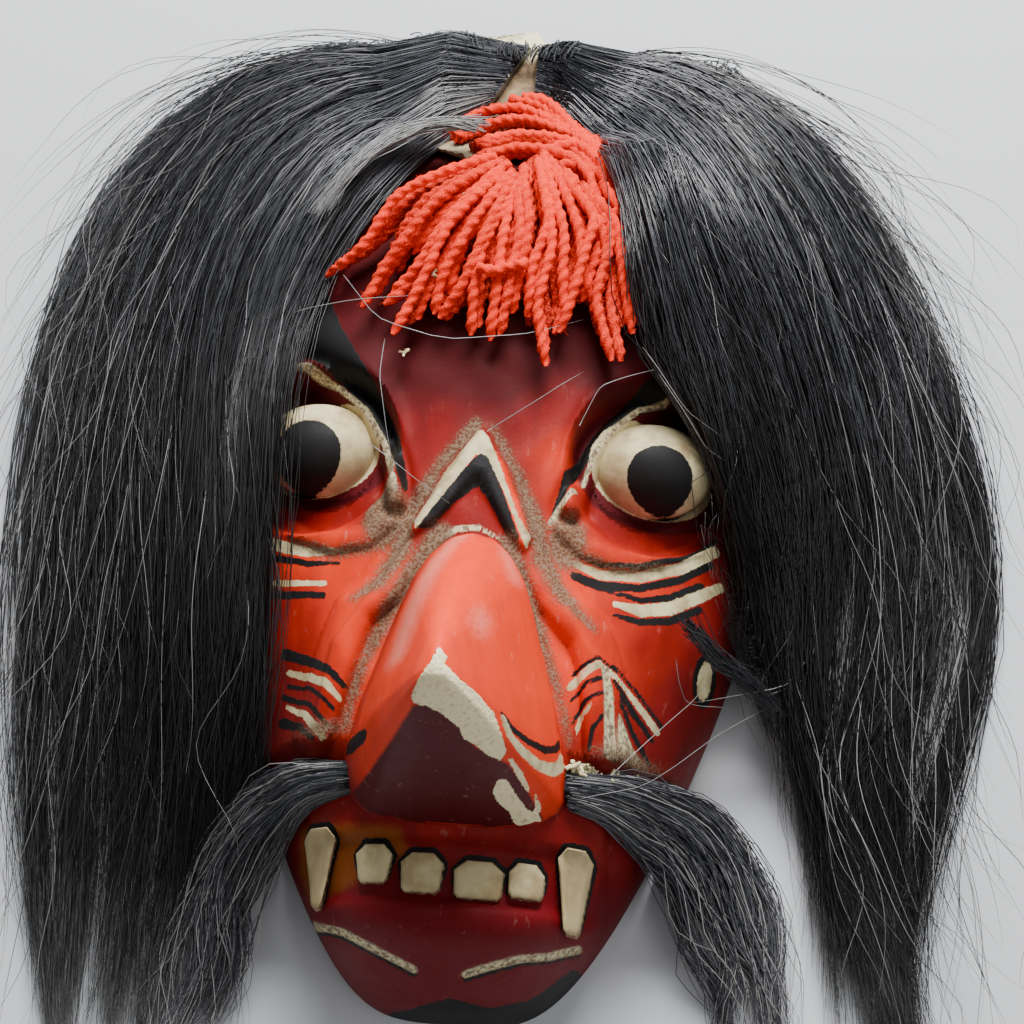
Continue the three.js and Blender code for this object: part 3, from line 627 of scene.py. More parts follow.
HAIR_RIGHT = [
    [(4, 114), (9, 112), (17, 107), (24, 91), (29, 76), (32, 61), (36, 46), (40, 34), (47, 25), (53, 18),
        (59, 10), (61, -2), (63, -15), (65, -29), (70, -37), (75, -50)],
    [(4, 121), (12, 122), (23, 118), (34, 101), (42, 80), (49, 64), (56, 50), (63, 38), (69, 25), (73, 9),
        (77, -7), (78, -25), (79, -39), (83, -53), (88, -67), (92, -83), (94, -99), (94, -118)],
    [(4, 126), (15, 131), (30, 130), (46, 119), (58, 103), (69, 86), (77, 68), (85, 49), (91, 30), (94, 10),
        (94, -10), (91, -28), (85, -46), (85, -62), (92, -76), (100, -90), (104, -112)],
    [(4, 130), (18, 136), (37, 137), (56, 127), (72, 113), (85, 96), (95, 76), (102, 52), (106, 29), (108, 6),
        (107, -17), (104, -37), (105, -56), (106, -75), (108, -94), (109, -120)],
    [(5, 133), (21, 138), (43, 139), (64, 131), (83, 119), (96, 101), (106, 79), (112, 56), (116, 32),
        (117, 9), (116, -14), (114, -36), (113, -58), (113, -79), (113, -98), (113, -120)],
]
# A short tuft that crosses the gap beside the right cheek
TUFT = [(49, -22), (56, -26), (64, -29), (73, -34)]

# The grey lock beside the tassel
GREY_LOCK = [(-8, 97), (-17, 97), (-27, 93), (-36, 84), (-43, 72)]

# Single hairs that stray over the face, each with its height over the skin
FACE_HAIRS = [
    (10, [(-36, 55), (-26, 41), (-10, 37), (9, 40), (21, 45)]),
    (8, [(-24, 37), (-24, 27), (-21, 13), (-19, 6)]),
    (6, [(1, 17), (13, 25), (22, 32)]),
    (10, [(22, 18), (26, 27), (33, 31), (38, 34)]),
    (14, [(53, 47), (58, 41), (69, 36)]),
    (9, [(-25, 11), (-13, 3), (-6, -1)]),
    (11, [(35, 39), (46, 25), (56, 22), (74, 29)]),
    (11, [(39, 33), (51, 18), (62, 17)]),
    (12, [(34, -58), (52, -37), (59, -24)]),
    (14, [(67, -7), (77, -5), (82, -12), (79, -26), (63, -35)]),
    (14, [(69, -8), (76, -8), (81, -17), (75, -28), (50, -38)]),
    (8, [(47, -29), (48, -34), (50, -38), (63, -35)]),
    (12, [(28, -64), (41, -59), (59, -42), (79, -27)]),
    (9, [(-60, 46), (-38, 46), (-17, 49)]),
]
MOUSTACHE_LEFT = [
    [(-24, -59), (-39, -59), (-53, -63), (-63, -73), (-69, -87), (-73, -102), (-76, -124)],
    [(-23, -62), (-36, -63), (-47, -67), (-56, -76), (-60, -87), (-63, -101), (-66, -124)],
    [(-23, -66), (-34, -68), (-43, -76), (-49, -88), (-52, -101), (-56, -122)],
]
MOUSTACHE_RIGHT = [
    [(24, -58), (40, -56), (55, -56), (66, -62), (74, -74), (78, -90), (80, -105), (81, -122)],
    [(24, -62), (39, -62), (51, -65), (60, -73), (66, -85), (70, -98), (74, -120)],
    [(25, -66), (36, -68), (46, -75), (54, -86), (60, -99), (67, -118)],
]


def painted(x, y, shapes):
    """Signed distance into any of the shapes, positive inside."""
    best = np.full(x.shape, -9.0)
    kinds = {"line": stroke, "area": area, "oval": oval}
    for kind, *rest in shapes:
        best = np.maximum(best, kinds[kind](x, y, *rest))
    return best


# Pieces


def nose_piece():
    """The long nose, as rings from its foot up to the blunt tip."""
    around, count = 200, 60
    angle = np.arange(around) * 2 * math.pi / around
    reach = nose_reach((angle + math.pi) % (2 * math.pi) - math.pi)
    shares, sizes = np.array(NOSE_SIZES).T
    share = np.linspace(0, 1, count) ** 0.9
    size = np.interp(share, shares, sizes)
    x = NOSE_TIP[0] * share[:, None] ** 0.94 + np.cos(angle) * reach * size[:, None]
    y = NOSE_TIP[1] + np.sin(angle) * reach * size[:, None]
    z = np.broadcast_to((NOSE_FOOT + (NOSE_TIP[2] - NOSE_FOOT) * share)[:, None], x.shape)
    return tube("nose", row(np.stack([x, y, z], 2)), 35)


def eyeball(side):
    """A bulging eyeball, sunk into its socket."""
    bm = bmesh.new()
    bmesh.ops.create_uvsphere(bm, u_segments=96, v_segments=48, radius=1)
    z = float(dome(np.array([EYE_X]), np.array([EYE_Y]))[0]) - 8
    centre = row([side * EYE_X, BALL_Y, z])
    bmesh.ops.scale(bm, vec=(0.0144, 0.0112, 0.0125), verts=bm.verts)
    bmesh.ops.translate(bm, vec=centre, verts=bm.verts)
    return finish_mesh("eyeball", bm)


def tooth_piece(tooth):
    """A tooth stands proud of the gape with rounded edges."""
    corners = np.array(tooth_outline(tooth), float)
    middle = corners.mean(0)
    closed = np.vstack([corners, corners[:1]])
    dense = np.concatenate([np.linspace(p, q, 6, endpoint=False) for p, q in zip(closed, closed[1:])])
    rings = []
    for shrink, lift in ((1, -6), (1, 1.8), (0.96, 2.5), (0.86, 2.95), (0.6, 3.1)):
        place = middle + (dense - middle) * shrink
        z = face(place[:, 0] * 0.98, np.maximum(place[:, 1], -84)) + lift
        rings.append(row(np.column_stack([place, z])))
    return tube("tooth", np.array(rings))


def ledge_cutter(side):
    """The slot under a cheek: a ledge above it and a slope below."""
    rings = []
    for i in range(33):
        x = 24 + 34 * i / 32
        deep = 7 * float(ease(np.array(x), 62, 48))
        bed = float(face(np.array([x]), np.array([LEDGE - 4]))[0])
        wave = 0.5 * math.sin(x * 0.55 + side)
        ledge = [(LEDGE + wave, bed + 9), (LEDGE + wave, bed - deep)]
        slope = [(LEDGE - 4, bed - deep), (LEDGE - 13, bed + 3)]
        rings.append([(side * x, y, z) for y, z in ledge + slope])
    return tube("slot", row(np.array(rings)))


def slit_cutter(side, height):
    """The crescent under an eyeball, which climbs on its way in."""
    steps = 40
    angle = math.pi * (1.12 + 0.76 * np.arange(steps + 1) / steps)
    x, y = 14.4 * np.cos(angle), 11.2 * np.sin(angle)
    drop = height * np.sin(np.linspace(0, math.pi, steps + 1)) ** 0.6
    outline = np.column_stack([np.r_[x, x[-2:0:-1]], np.r_[y, (y - drop)[-2:0:-1]]])
    slope = math.tan(math.radians(24))
    rings = []
    for z in (-70.0, 30.0):
        level = np.full(len(outline), z)
        place = np.column_stack([outline[:, 0], outline[:, 1] - slope * z - slope * 4, level])
        rings.append(place + [side * EYE_X, BALL_Y, 43])
    return tube("slit", row(np.array(rings)))


def mask_material(colours):
    """Satin house paint brushed on carved wood.

    The eye sees ragged brush edges about 1 mm fine, blotches of 5 and 22 mm in the red, bare pale
    wood where it is chipped, and brown grit of 0.7 mm in the grooves.
    """
    material, tree, shader = new_material("painted wood")
    fine, medium = noise(tree, 1.1, 4), noise(tree, 5, 3)
    broad = noise(tree, 22, 3)
    rag = math_node(tree, "MULTIPLY_ADD", fine, 0.9, -0.45)

    def brushed(name, soft=0.14, ragged=1.0):
        edge = math_node(tree, "MULTIPLY_ADD", rag, ragged, layer_of(tree, name))
        return step(tree, edge, -soft, soft)

    patchy = math_node(tree, "MULTIPLY_ADD", broad, 0.5, -0.25)
    # Painted light and shade stored on the mask, plus real blotches of paint tone, picks dark, deep or bright
    # red.
    painted_light_and_tone = math_node(tree, "ADD", layer_of(tree, "painted_light_and_tone"), patchy, clamp=True)
    ground = mix(tree, step(tree, painted_light_and_tone, 0.0, 0.5), colours.dark, colours.deep)
    ground = mix(tree, step(tree, painted_light_and_tone, 0.45, 1.0), ground, colours.red)
    strokes = noise(tree, 5, 3, 0.6, (1.0, 0.22, 1.0))
    # Brush strokes darken the red more where it is in painted shade.
    stroke_strength = math_node(tree, "MULTIPLY_ADD", painted_light_and_tone, -0.5, 0.6)
    ground = mix(tree, math_node(tree, "MULTIPLY", step(tree, strokes, 0.3, 0.8), stroke_strength), ground, colours.dark)
    ground = mix(tree, layer_of(tree, "lips"), ground, colours.crimson)
    # The nose's underside darkened: its own paint and painted shade.
    ground = mix(tree, brushed("maroon", 0.5, 0.6), ground, colours.maroon)
    scuff = step(tree, noise(tree, 2.4, 5, 0.7, (1.0, 0.35, 1.0)), 0.6, 0.72)
    scuff = math_node(tree, "MULTIPLY", scuff, math_node(tree, "MULTIPLY", painted_light_and_tone, 0.18))
    ground = mix(tree, scuff, ground, colours.rubbed_and_highlight)
    # Pale scuffed streaks and a painted highlight on the nose.
    bloom_and_highlight = math_node(tree, "MULTIPLY", brushed("bloom_and_highlight", 2.5, 5), 0.3)
    ground = mix(tree, bloom_and_highlight, ground, colours.rubbed_and_highlight)
    ground = mix(tree, math_node(tree, "MULTIPLY", brushed("gum", 1.4, 3), 0.75), ground, colours.ochre)
    ink = brushed("ink")
    # Painted shade in the grooves round the eyeballs.
    shade = mix(tree, brushed("groove", 0.6), ground, colours.maroon)
    shade = mix(tree, ink, shade, colours.ink)
    cream_tone = mix(tree, step(tree, medium, 0.35, 0.75), colours.cream, colours.tan)
    # Tan dirt, with painted shade on the lower parts of the eyeballs.
    cream_tone = mix(tree, math_node(tree, "MULTIPLY", layer_of(tree, "stain_and_shade"), 0.8), cream_tone, colours.tan)
    shade = mix(tree, brushed("cream"), shade, cream_tone)
    shade = mix(tree, brushed("ink_over"), shade, colours.ink)
    tan_tone = mix(tree, step(tree, fine, 0.4, 0.62), colours.cream, colours.dust)
    shade = mix(tree, brushed("tan", 0.2, 1.3), shade, tan_tone)
    chip = brushed("chip", 0.1, 1.2)
    chip_tone = mix(tree, step(tree, fine, 0.5, 0.85), colours.chip, colours.tan)
    shade = mix(tree, chip, shade, chip_tone)
    grit = noise(tree, 0.7, 4, 0.7)
    dusty = math_node(tree, "MULTIPLY_ADD", medium, 2.4, layer_of(tree, "dust"))
    dusty = step(tree, math_node(tree, "MULTIPLY_ADD", grit, 4.0, dusty), 2.4, 4.6)
    film = math_node(tree, "MULTIPLY", step(tree, layer_of(tree, "dust"), -2.5, 3.0), 0.4)
    shade = mix(tree, film, shade, colours.timber)
    dust_tone = mix(tree, step(tree, grit, 0.42, 0.58), colours.timber, colours.dust)
    shade = mix(tree, math_node(tree, "MULTIPLY", dusty, 0.9), shade, dust_tone)
    inside = layer_of(tree, "inside")
    grain = noise(tree, 3, 4, 0.6, (1.0, 0.12, 1.0))
    timber = mix(tree, step(tree, grain, 0.35, 0.7), colours.timber, colours.tan)
    shade = mix(tree, step(tree, inside, 0.4, 0.6), shade, timber)
    tree.links.new(shade, shader.inputs["Base Color"])

    rough = math_node(tree, "MULTIPLY_ADD", painted_light_and_tone, -0.24, math_node(tree, "MULTIPLY_ADD", medium, 0.25, 0.55))
    rough = math_node(tree, "MAXIMUM", rough, math_node(tree, "MULTIPLY", dusty, 0.95))
    rough = math_node(tree, "MAXIMUM", rough, math_node(tree, "MULTIPLY", chip, 0.8))
    rough = math_node(tree, "MAXIMUM", rough, math_node(tree, "MULTIPLY", inside, 0.85))
    tree.links.new(rough, shader.inputs["Roughness"])
    shader.inputs["Specular IOR Level"].default_value = 0.13
    height = math_node(tree, "MULTIPLY_ADD", ink, 0.25, math_node(tree, "MULTIPLY", fine, 0.35))
    height = math_node(tree, "MULTIPLY_ADD", dusty, math_node(tree, "MULTIPLY", grit, 2.2), height)
    height = math_node(tree, "MULTIPLY_ADD", chip, math_node(tree, "MULTIPLY", fine, 2.0), height)
    bump = node(tree, "ShaderNodeBump", {"Height": height, "Strength": 0.55, "Distance": 0.0003})
    tree.links.new(bump.outputs[0], shader.inputs["Normal"])
    return material


def paint_mask(obj):
    """Stores how far each vertex lies inside each painted shape, in millimetres."""
    p = (coordinates(obj) - OFFSET) * 1000
    x, y, z = p.T
    nose_z = nose_height(x, y)
    on_nose = ease(z - np.maximum(face(x, y), 0), 0.25, 0.9) * (np.abs(z - nose_z) < 2.5) * (y < -1)
    off = np.where(on_nose > 0.5, -9, 0)
    share = np.clip((z - NOSE_FOOT) / (NOSE_TIP[2] - NOSE_FOOT), 0, 1)
    inner = (z < 0.9 * dome(x, y) - 6) & (spread(x, y) < 0.995)
    rim = (z < 0.6) & (spread(x, y) < 0.995)
    paint(obj, "inside", (inner | rim).astype(float))

    cream = painted(x, y, CREAM)
    ink = painted(x, y, INK)
    over = painted(x, y, INK_OVER)
    ball = np.maximum(oval(x, y, (-EYE_X, BALL_Y), (14.6, 11.4)), oval(x, y, (EYE_X, BALL_Y), (14.6, 11.4)))
    cream = np.maximum(cream, ball)
    over = np.maximum(over, oval(x, y, (-40.8, 12.6), (7.7, 7.7), 10))
    over = np.maximum(over, oval(x, y, (40.9, 12.2), (7.6, 7.1), 0))
    for tooth in TEETH:
        inside = area(x, y, tooth_outline(tooth))
        cream = np.maximum(cream, inside)
        round_top = tooth_outline(tooth)[-1:] + tooth_outline(tooth)[:5]
        ink = np.maximum(ink, stroke(x, y, round_top, [0.6, 1.6, 2.8, 2.8, 1.8, 0.6]))
    dome_z = dome(x, y)
    under = area(x, y, NOSE_UNDER)
    # Dark paint and painted shade on the nose's underside.
    paint(obj, "maroon", np.where(on_nose > 0.5, under, -9))
    paint(obj, "cream", np.where(on_nose > 0.5, painted(x, y, NOSE_CREAM), cream))
    paint(obj, "ink", np.where(on_nose > 0.5, painted(x, y, NOSE_INK), ink))
    paint(obj, "ink_over", over + off)
    paint(obj, "tan", painted(x, y, TAN) + off)
    paint(obj, "chip", np.where(on_nose > 0.5, painted(x, y, NOSE_CHIPS), -9))
    paint(obj, "dust", np.where(on_nose > 0.5, -1.5 - (z - face(x, y)) * 1.2, painted(x, y, DUST)))
    # A dark ring round each eyeball: painted shade in the groove where the ball meets its socket.
    paint(obj, "groove", np.maximum(-np.abs(ball + 1.5) + 1.5, -9) + off)
    gum = area(x, y, [(-36, -72), (-12, -73), (-9, -78), (-24, -86), (-34, -88), (-37, -80)])
    paint(obj, "gum", gum + off)
    # Scuffed streaks and a painted highlight, on the nose only.
    paint(obj, "bloom_and_highlight", np.where(on_nose > 0.5, painted(x, y, NOSE_BLOOM_AND_HIGHLIGHT), -9))
    # Tan on the eyeballs: dirt towards the nose and painted shade on their lower parts. The teeth and tusks are
    # tan, the tusks more so.
    stain_and_shade = ease(np.abs(x), 36, 27) * ball.clip(0, 1) * 0.6 + ease(y, 14, 4) * ball.clip(0, 1) * 0.7
    paint(obj, "stain_and_shade", np.clip(stain_and_shade + 0.4 * (y < -70) + 0.5 * (y < -70) * (np.abs(x) > 22.5), 0, 1))
    paint(obj, "lips", ease(y, -72, -84) * (on_nose < 0.5))
    # Painted light and shade in the red. It is brighter on the cheeks beside the nose, above the right eye,
    # under the eyes, on the raised chevron and on the nose, which face the lamp. It is darker on the forehead
    # in the tassel's shade, towards the edges, near the nose's foot and on its left flank.
    painted_light_and_tone = 0.5 + 0.35 * bell(np.abs(x) - 22, 12) * bell(y + 30, 22) - 0.56 * ease(y, 10, 36)
    painted_light_and_tone = painted_light_and_tone + 0.3 * bell(x - 18, 9) * bell(y - 24, 16) - 0.15 * ease(dome_z, 40, 20)
    painted_light_and_tone = painted_light_and_tone + 0.35 * ease(area(x, y, CHEVRON), 0, 1.5)
    painted_light_and_tone = painted_light_and_tone + 0.25 * bell(np.abs(x) - 38, 16) * bell(y + 12, 8)
    painted_light_and_tone = np.where(on_nose > 0.5, 1.1 - 0.3 * ease(share, 0.4, 0.0) - 0.22 * ease(x, 0, -16), painted_light_and_tone)
    paint(obj, "painted_light_and_tone", painted_light_and_tone)


class TOPENG_OT_mask(bpy.types.Operator):
    """Carve and paint the mask"""

    bl_idname = "topeng.mask"
    bl_label = "Mask"

    def execute(self, context):
        sizes, colours = context.scene.topeng_sizes, context.scene.topeng_colours
        wall, front = sizes.wall * 1000, sizes.front_wall * 1000
        body = moulded("mask_carving", sizes.cells, 0.25, 0.0, face)
        for side in (-1, 1):
            cut(body, ledge_cutter(side), "DIFFERENCE")
        cut(body, nose_piece(), "UNION")
        for side in (-1, 1):
            cut(body, eyeball(side), "UNION")
        for tooth in TEETH:
            cut(body, tooth_piece(tooth), "UNION")
        across, tall = (HALF_ACROSS - wall), (HALF_TALL - wall)
        share = (DEEP - front) / DEEP

        def hollow(x, y):
            return share * dome(x * HALF_ACROSS / across, y * HALF_TALL / tall) - 1

        cut(body, moulded("hollow", 60, 0.9, -1.0, hollow, across, tall), "DIFFERENCE")
        for side in (-1, 1):
            cut(body, slit_cutter(side, sizes.slit * 1000), "DIFFERENCE")
        body.data.shade_smooth()
        body.data.set_sharp_from_angle(angle=math.radians(55))
        paint_mask(body)
        adopt(body, "mask", mask_material(colours))
        return {"FINISHED"}


# Hair and yarn

STEPS = 16
STRAYS = 340
NAPE_HAIRS = 260


def resample(points, count):
    """Points evenly spread along a line through the given ones, with its corners rounded."""
    points = np.array(points, float)
    run = np.r_[0, np.cumsum(np.hypot(*np.diff(points, axis=0).T))]
    places = np.linspace(0, run[-1], count * 4)
    dense = np.column_stack([np.interp(places, run, column) for column in points.T])
    reach = max(3, int(0.12 * len(dense)))
    kernel = np.hanning(2 * reach + 1) / np.hanning(2 * reach + 1).sum()
    ends = [np.r_[2 * c[0] - c[reach:0:-1], c, 2 * c[-1] - c[-2 : -reach - 2 : -1]] for c in dense.T]
    smooth = np.column_stack([np.convolve(c, kernel, "valid") for c in ends])
    return smooth[np.linspace(0, len(smooth) - 1, count).round().astype(int)]


def crown(x, y):
    """Height of the forehead, carried on over the crown at a gentle slope."""
    bend = np.minimum(y, 101)
    return shoulder(x, bend) - 0.45 * (y - bend)


def hair_seat(x, y):
    """Height that the hair lies at: over the hide at the parting, over the tassel beside it."""
    hide = (crown(x, y) + 5.5) * ease(y, 94, 104) * ease(np.abs(x + 4), 34, 14)
    yarn = (crown(x, y) + 12) * ease(x, 8, 24) * ease(x, 62, 38) * ease(y, 32, 52) * ease(y, 118, 90)
    return np.maximum(fall(x, y), np.maximum(hide, yarn))


class Fall:
    """A sheet of hair between guide lines. u runs over the lines and t along them."""

    def __init__(self, guides, depth, rises, locks):
        self.guides = np.stack([resample(g, 200) for g in guides])
        self.last = len(guides) - 1
        self.depth, self.rises = depth, rises
        self.locks = np.array(locks)

    def place(self, u, t):
        i = np.clip(np.floor(u).astype(int), 0, self.last - 1)
        f = (u - i)[..., None]
        k = np.clip(t, 0, 1) * 199
        k0 = np.minimum(k.astype(int), 198)
        g = (k - k0)[..., None]
        low = self.guides[i, k0] * (1 - g) + self.guides[i, k0 + 1] * g
        high = self.guides[i + 1, k0] * (1 - g) + self.guides[i + 1, k0 + 1] * g
        xy = low * (1 - f) + high * f
        return xy[..., 0], xy[..., 1]

    def thick(self, u, t):
        edge = np.abs(2 * u / self.last - 1)
        where, rises = np.array(self.rises, float).T
        return self.depth * np.interp(t, where, rises) * np.sqrt(np.clip(1.03 - edge**3, 0.05, 1))

    def nearest_lock(self, u):
        return self.locks[np.abs(np.asarray(u)[..., None] - self.locks).argmin(-1)]


def sideways(x, y, swing):
    """Moves each path to its side by swing."""
    dx, dy = np.gradient(x, axis=-1), np.gradient(y, axis=-1)
    length = np.maximum(np.hypot(dx, dy), 1e-6)
    return x - dy / length * swing, y + dx / length * swing


def waves(rng, shape, t, low, high):
    """Sine waves along t, with low to high swings in all."""
    return np.sin(2 * math.pi * rng.uniform(low, high, shape) * t + rng.uniform(0, 2 * math.pi, shape))


def lock_paths(sheet, rng, count, clumps, wave, seed):
    """Paths (count, STEPS, 3) in millimetres of hairs in tufts, which join locks lower down."""
    shared = np.random.default_rng(seed)
    tufts = np.sort(shared.uniform(0, sheet.last, clumps))
    lock_drift = shared.normal(0, 1, len(sheet.locks))
    lock_pace, lock_turn = shared.uniform(1.1, 1.9, len(sheet.locks)), shared.uniform(0, 6.28, len(sheet.locks))
    start = rng.uniform(-0.04, sheet.last + 0.04, count)[:, None]
    own = np.abs(start - tufts).argmin(1)
    tuft = tufts[own][:, None]
    which = np.abs(tuft - sheet.locks).argmin(1)
    lock = sheet.locks[which][:, None]
    t = np.linspace(0, 1, STEPS) ** 1.1 * rng.uniform(0.88, 1.0, (count, 1))
    t = t + rng.uniform(0, 0.05, (count, 1)) * (1 - t)
    free = rng.uniform(size=(count, 1)) < 0.3
    hold = np.where(free, 0.25, 1.0)
    u = start + (tuft - start) * 0.6 * ease(t, 0.05, 0.5) * hold
    u = u + (lock - u) * 0.74 * ease(t, 0.5, 0.86) * hold
    sway = np.sin(2 * math.pi * lock_pace[which][:, None] * t + lock_turn[which][:, None])
    u = u + wave * 0.16 * lock_drift[which][:, None] * sway * ease(t, 0.45, 0.8)
    u = u + rng.normal(0, 0.12, (count, 1)) * t + rng.normal(0, 0.42, (count, 1)) * free * t
    u = np.clip(u, -0.12 - 0.3 * free, sheet.last + 0.12 + 0.2 * free)
    x, y = sheet.place(u, t)
    swing = rng.normal(0, 1.1, (count, 1)) * waves(rng, (count, 1), t, 1.0, 3.0) * ease(t, 0, 0.3)
    swing = swing + wave * shared.normal(0, 0.8, clumps)[own][:, None] * np.sin(
        2 * math.pi * shared.uniform(1.2, 2.6, clumps)[own][:, None] * t + own[:, None]
    ) * ease(t, 0.1, 0.7)
    swing = swing + free * rng.normal(0, 3.2, (count, 1)) * waves(rng, (count, 1), t, 0.8, 2.6) * t
    x, y = sideways(x, y, swing)
    layer = rng.uniform(0, 1, (count, 1)) ** 0.55
    hump = np.clip(1 - ((start - tuft) * clumps / sheet.last * 0.9) ** 2, 0, 1)
    z = hair_seat(x, y) + sheet.thick(u, t) * (0.3 + 0.7 * layer)
    z = z + 2.2 * (hump - 0.5) * ease(t, 0, 0.15) * layer
    z = z + free * np.abs(rng.normal(0, 1.2, (count, 1))) * ease(t, 0, 0.3)
    return np.stack([x, y, np.maximum(z, 0.5)], 2)


def stray_paths(sheet, rng, count, reach):
    """Single hairs that leave the sheet at any place and curl away from it."""
    t0 = rng.uniform(0.02, 0.74, (count, 1))
    u0 = sheet.last * rng.uniform(0, 1, (count, 1)) ** 0.5
    s = np.linspace(0, 1, STEPS)
    x, y = sheet.place(u0 + 0 * s, np.clip(t0 + 0.25 * s, 0, 1))
    side = np.sign(sheet.guides[-1, 100, 0])
    out = reach * np.abs(rng.normal(0, 1, (count, 1))) * s**1.6 + rng.normal(0, 3, (count, 1)) * s
    swing = side * out + rng.normal(0, 5, (count, 1)) * waves(rng, (count, 1), s, 0.5, 1.8) * s
    x, y = sideways(x, y, swing)
    z = hair_seat(x, y) + sheet.thick(u0, t0) * 1.05 + np.abs(rng.normal(0, 6, (count, 1))) * np.sin(2.6 * s)
    within = (np.abs(x) < 136).all(1) & (y > -134).all(1) & (y < 141).all(1)
    return np.stack([x, y, np.clip(z, 0.5, 100)], 2)[within]


def nape_paths(rng, count, side):
    """Short hairs that hang down behind the crown, from the parting outward."""
    s = np.array([0, 0.12, 0.3, 0.55, 0.8, 1]) * rng.uniform(0.45, 1, (count, 1))
    x = 2 + side * 52 * rng.uniform(0, 1, (count, 1)) + side * rng.normal(4, 4, (count, 1)) * s
    edge = 131.5 + 6 * ease(np.abs(x), 2, 34) - 5 * ease(np.abs(x), 50, 72)
    y = edge + rng.normal(0, 0.8, (count, 1)) + np.interp(s, [0, 0.3, 1], [-6, 0.5, 3])
    y = y + rng.normal(0, 1.2, (count, 1)) * s
    top = hair_seat(x[:, :1], edge[:, :1] - 5) + rng.uniform(2, 6, (count, 1))
    z = top * np.interp(s, [0, 0.12, 0.3, 1], [1, 0.98, 0.8, 0.0]) + 0.7
    return np.stack([x, y, z], 2)


def profile_ring(name, radii):
    """A closed outline of radius about 1 m, which a strand's radius scales down."""
    data = bpy.data.curves.new(name, "CURVE")
    spline = data.splines.new("POLY")
    spline.points.add(len(radii) - 1)
    for i, (point, radius) in enumerate(zip(spline.points, radii)):
        angle = 2 * math.pi * i / len(radii)
        point.co = (radius * math.cos(angle), radius * math.sin(angle), 0, 1)
    spline.use_cyclic_u = True
    obj = bpy.data.objects.new(name, data)
    bpy.context.scene.collection.objects.link(obj)
    return obj


def strands(name, paths, radii, tones, ring=(1, 1, 1), turns=None):
    """One mesh of closed tubes along paths in millimetres, with a tone at each point."""
    outline = profile_ring(name + "_outline", ring)
    data = bpy.data.curves.new(name, "CURVE")
    data.dimensions = "3D"
    data.bevel_mode = "OBJECT"
    data.bevel_object = outline
    data.use_fill_caps = True
    for i, (path, radius) in enumerate(zip(paths, radii)):
        spline = data.splines.new("POLY")
        spline.points.add(len(path) - 1)
        spline.points.foreach_set("co", np.column_stack([row(path), np.ones(len(path))]).ravel())
        spline.points.foreach_set("radius", radius * 0.001)
        if turns is not None:
            spline.points.foreach_set("tilt", turns[i])
    curve = bpy.data.objects.new(name, data)
    bpy.context.scene.collection.objects.link(curve)
    mesh = bpy.data.meshes.new_from_object(curve.evaluated_get(bpy.context.evaluated_depsgraph_get()))
    bpy.data.objects.remove(curve)
    bpy.data.objects.remove(outline)
    obj = bpy.data.objects.new(name, mesh)
    bpy.context.scene.collection.objects.link(obj)
    # The two end caps of each strand come first, last strand first, then the walls.
    tones = [np.broadcast_to(tone, len(path)) for tone, path in zip(tones, paths)]
    caps = np.array([(tone[-1], tone[0]) for tone in reversed(tones)]).ravel()
    paint(obj, "tone", np.repeat(np.concatenate([caps, *tones]), len(ring)))
    bm = bmesh.new()
    bm.from_mesh(mesh)
    bmesh.ops.remove_doubles(bm, verts=bm.verts, dist=1e-7)
    bm.to_mesh(mesh)
    bm.free()
    mesh.shade_smooth()
    return obj


def undercoat(name, sheet, share, rng, until, steps=56, across=120):
    """The dark mass under the loose hairs, closed down to the table or the mask."""
    t = np.linspace(0, until, steps)[:, None] * np.ones(across)
    u = np.linspace(0.06, sheet.last - 0.06, across) * np.ones((steps, 1))
    u = u + (sheet.nearest_lock(u) - u) * 0.5 * ease(t, until - 0.25, until)
    x, y = sheet.place(u, t)
    groove = 1 + 0.12 * np.sin(2 * math.pi * u * 2.3) + rng.normal(0, 0.09, across)
    taper = 1 - 0.8 * ease(t, until - 0.2, until)
    top = np.stack([x, y, hair_seat(x, y) + sheet.thick(u, t) * share * groove * taper], 2)
    floor = np.where(spread(x, y) < 1.03, hair_seat(x, y) - 0.6, 0.3)
    low = np.stack([x, y, np.minimum(floor, top[..., 2] - 0.2)], 2)
    obj = tube(name, row(np.concatenate([top, low[:, ::-1]], 1)))
    tones = np.broadcast_to(rng.uniform(0, 0.8, across), (steps, across))
    values = np.concatenate([tones, tones[:, ::-1]], 1).ravel()
    paint(obj, "tone", np.resize(values, len(obj.data.vertices)))
    return obj


def hair_material(colours):
    """Black animal hair, combed dry: a soft sheen along each hair, with painted sheen in its lighter tones, and
    a few hairs are grey.
    """
    material, tree, shader = new_material("animal hair")
    tone = layer_of(tree, "tone")
    shade = mix(tree, step(tree, tone, 0.0, 0.85), colours.hair, colours.sheen)
    shade = mix(tree, step(tree, tone, 0.87, 1.0), shade, colours.grey)
    tree.links.new(shade, shader.inputs["Base Color"])
    shader.inputs["Roughness"].default_value = 0.36
    shader.inputs["Specular IOR Level"].default_value = 0.6
    return material


def hair_tones(rng, count, grey):
    """A tone for each hair: mostly dark, some partly grey as painted highlights, and a few wholly grey."""
    tones = 0.8 * rng.uniform(0, 1, (count, 1)) ** 1.5
    pick = rng.uniform(size=(count, 1))
    # Painted highlights: some hairs are painted partly grey.
    tones = np.where(pick < 0.09, 0.92, tones)
    return np.where(pick < grey, 1.0, tones) * np.ones(STEPS)


LONG = [(0, 0.25), (0.08, 0.9), (0.25, 1.0), (0.6, 0.8), (1, 0.45)]
HAIR_LOCKS = {"left": (0.1, 0.8, 1.55, 2.05, 3.1, 3.75), "right": (0.1, 0.75, 1.4, 2.1, 2.6, 3.3, 3.85)}


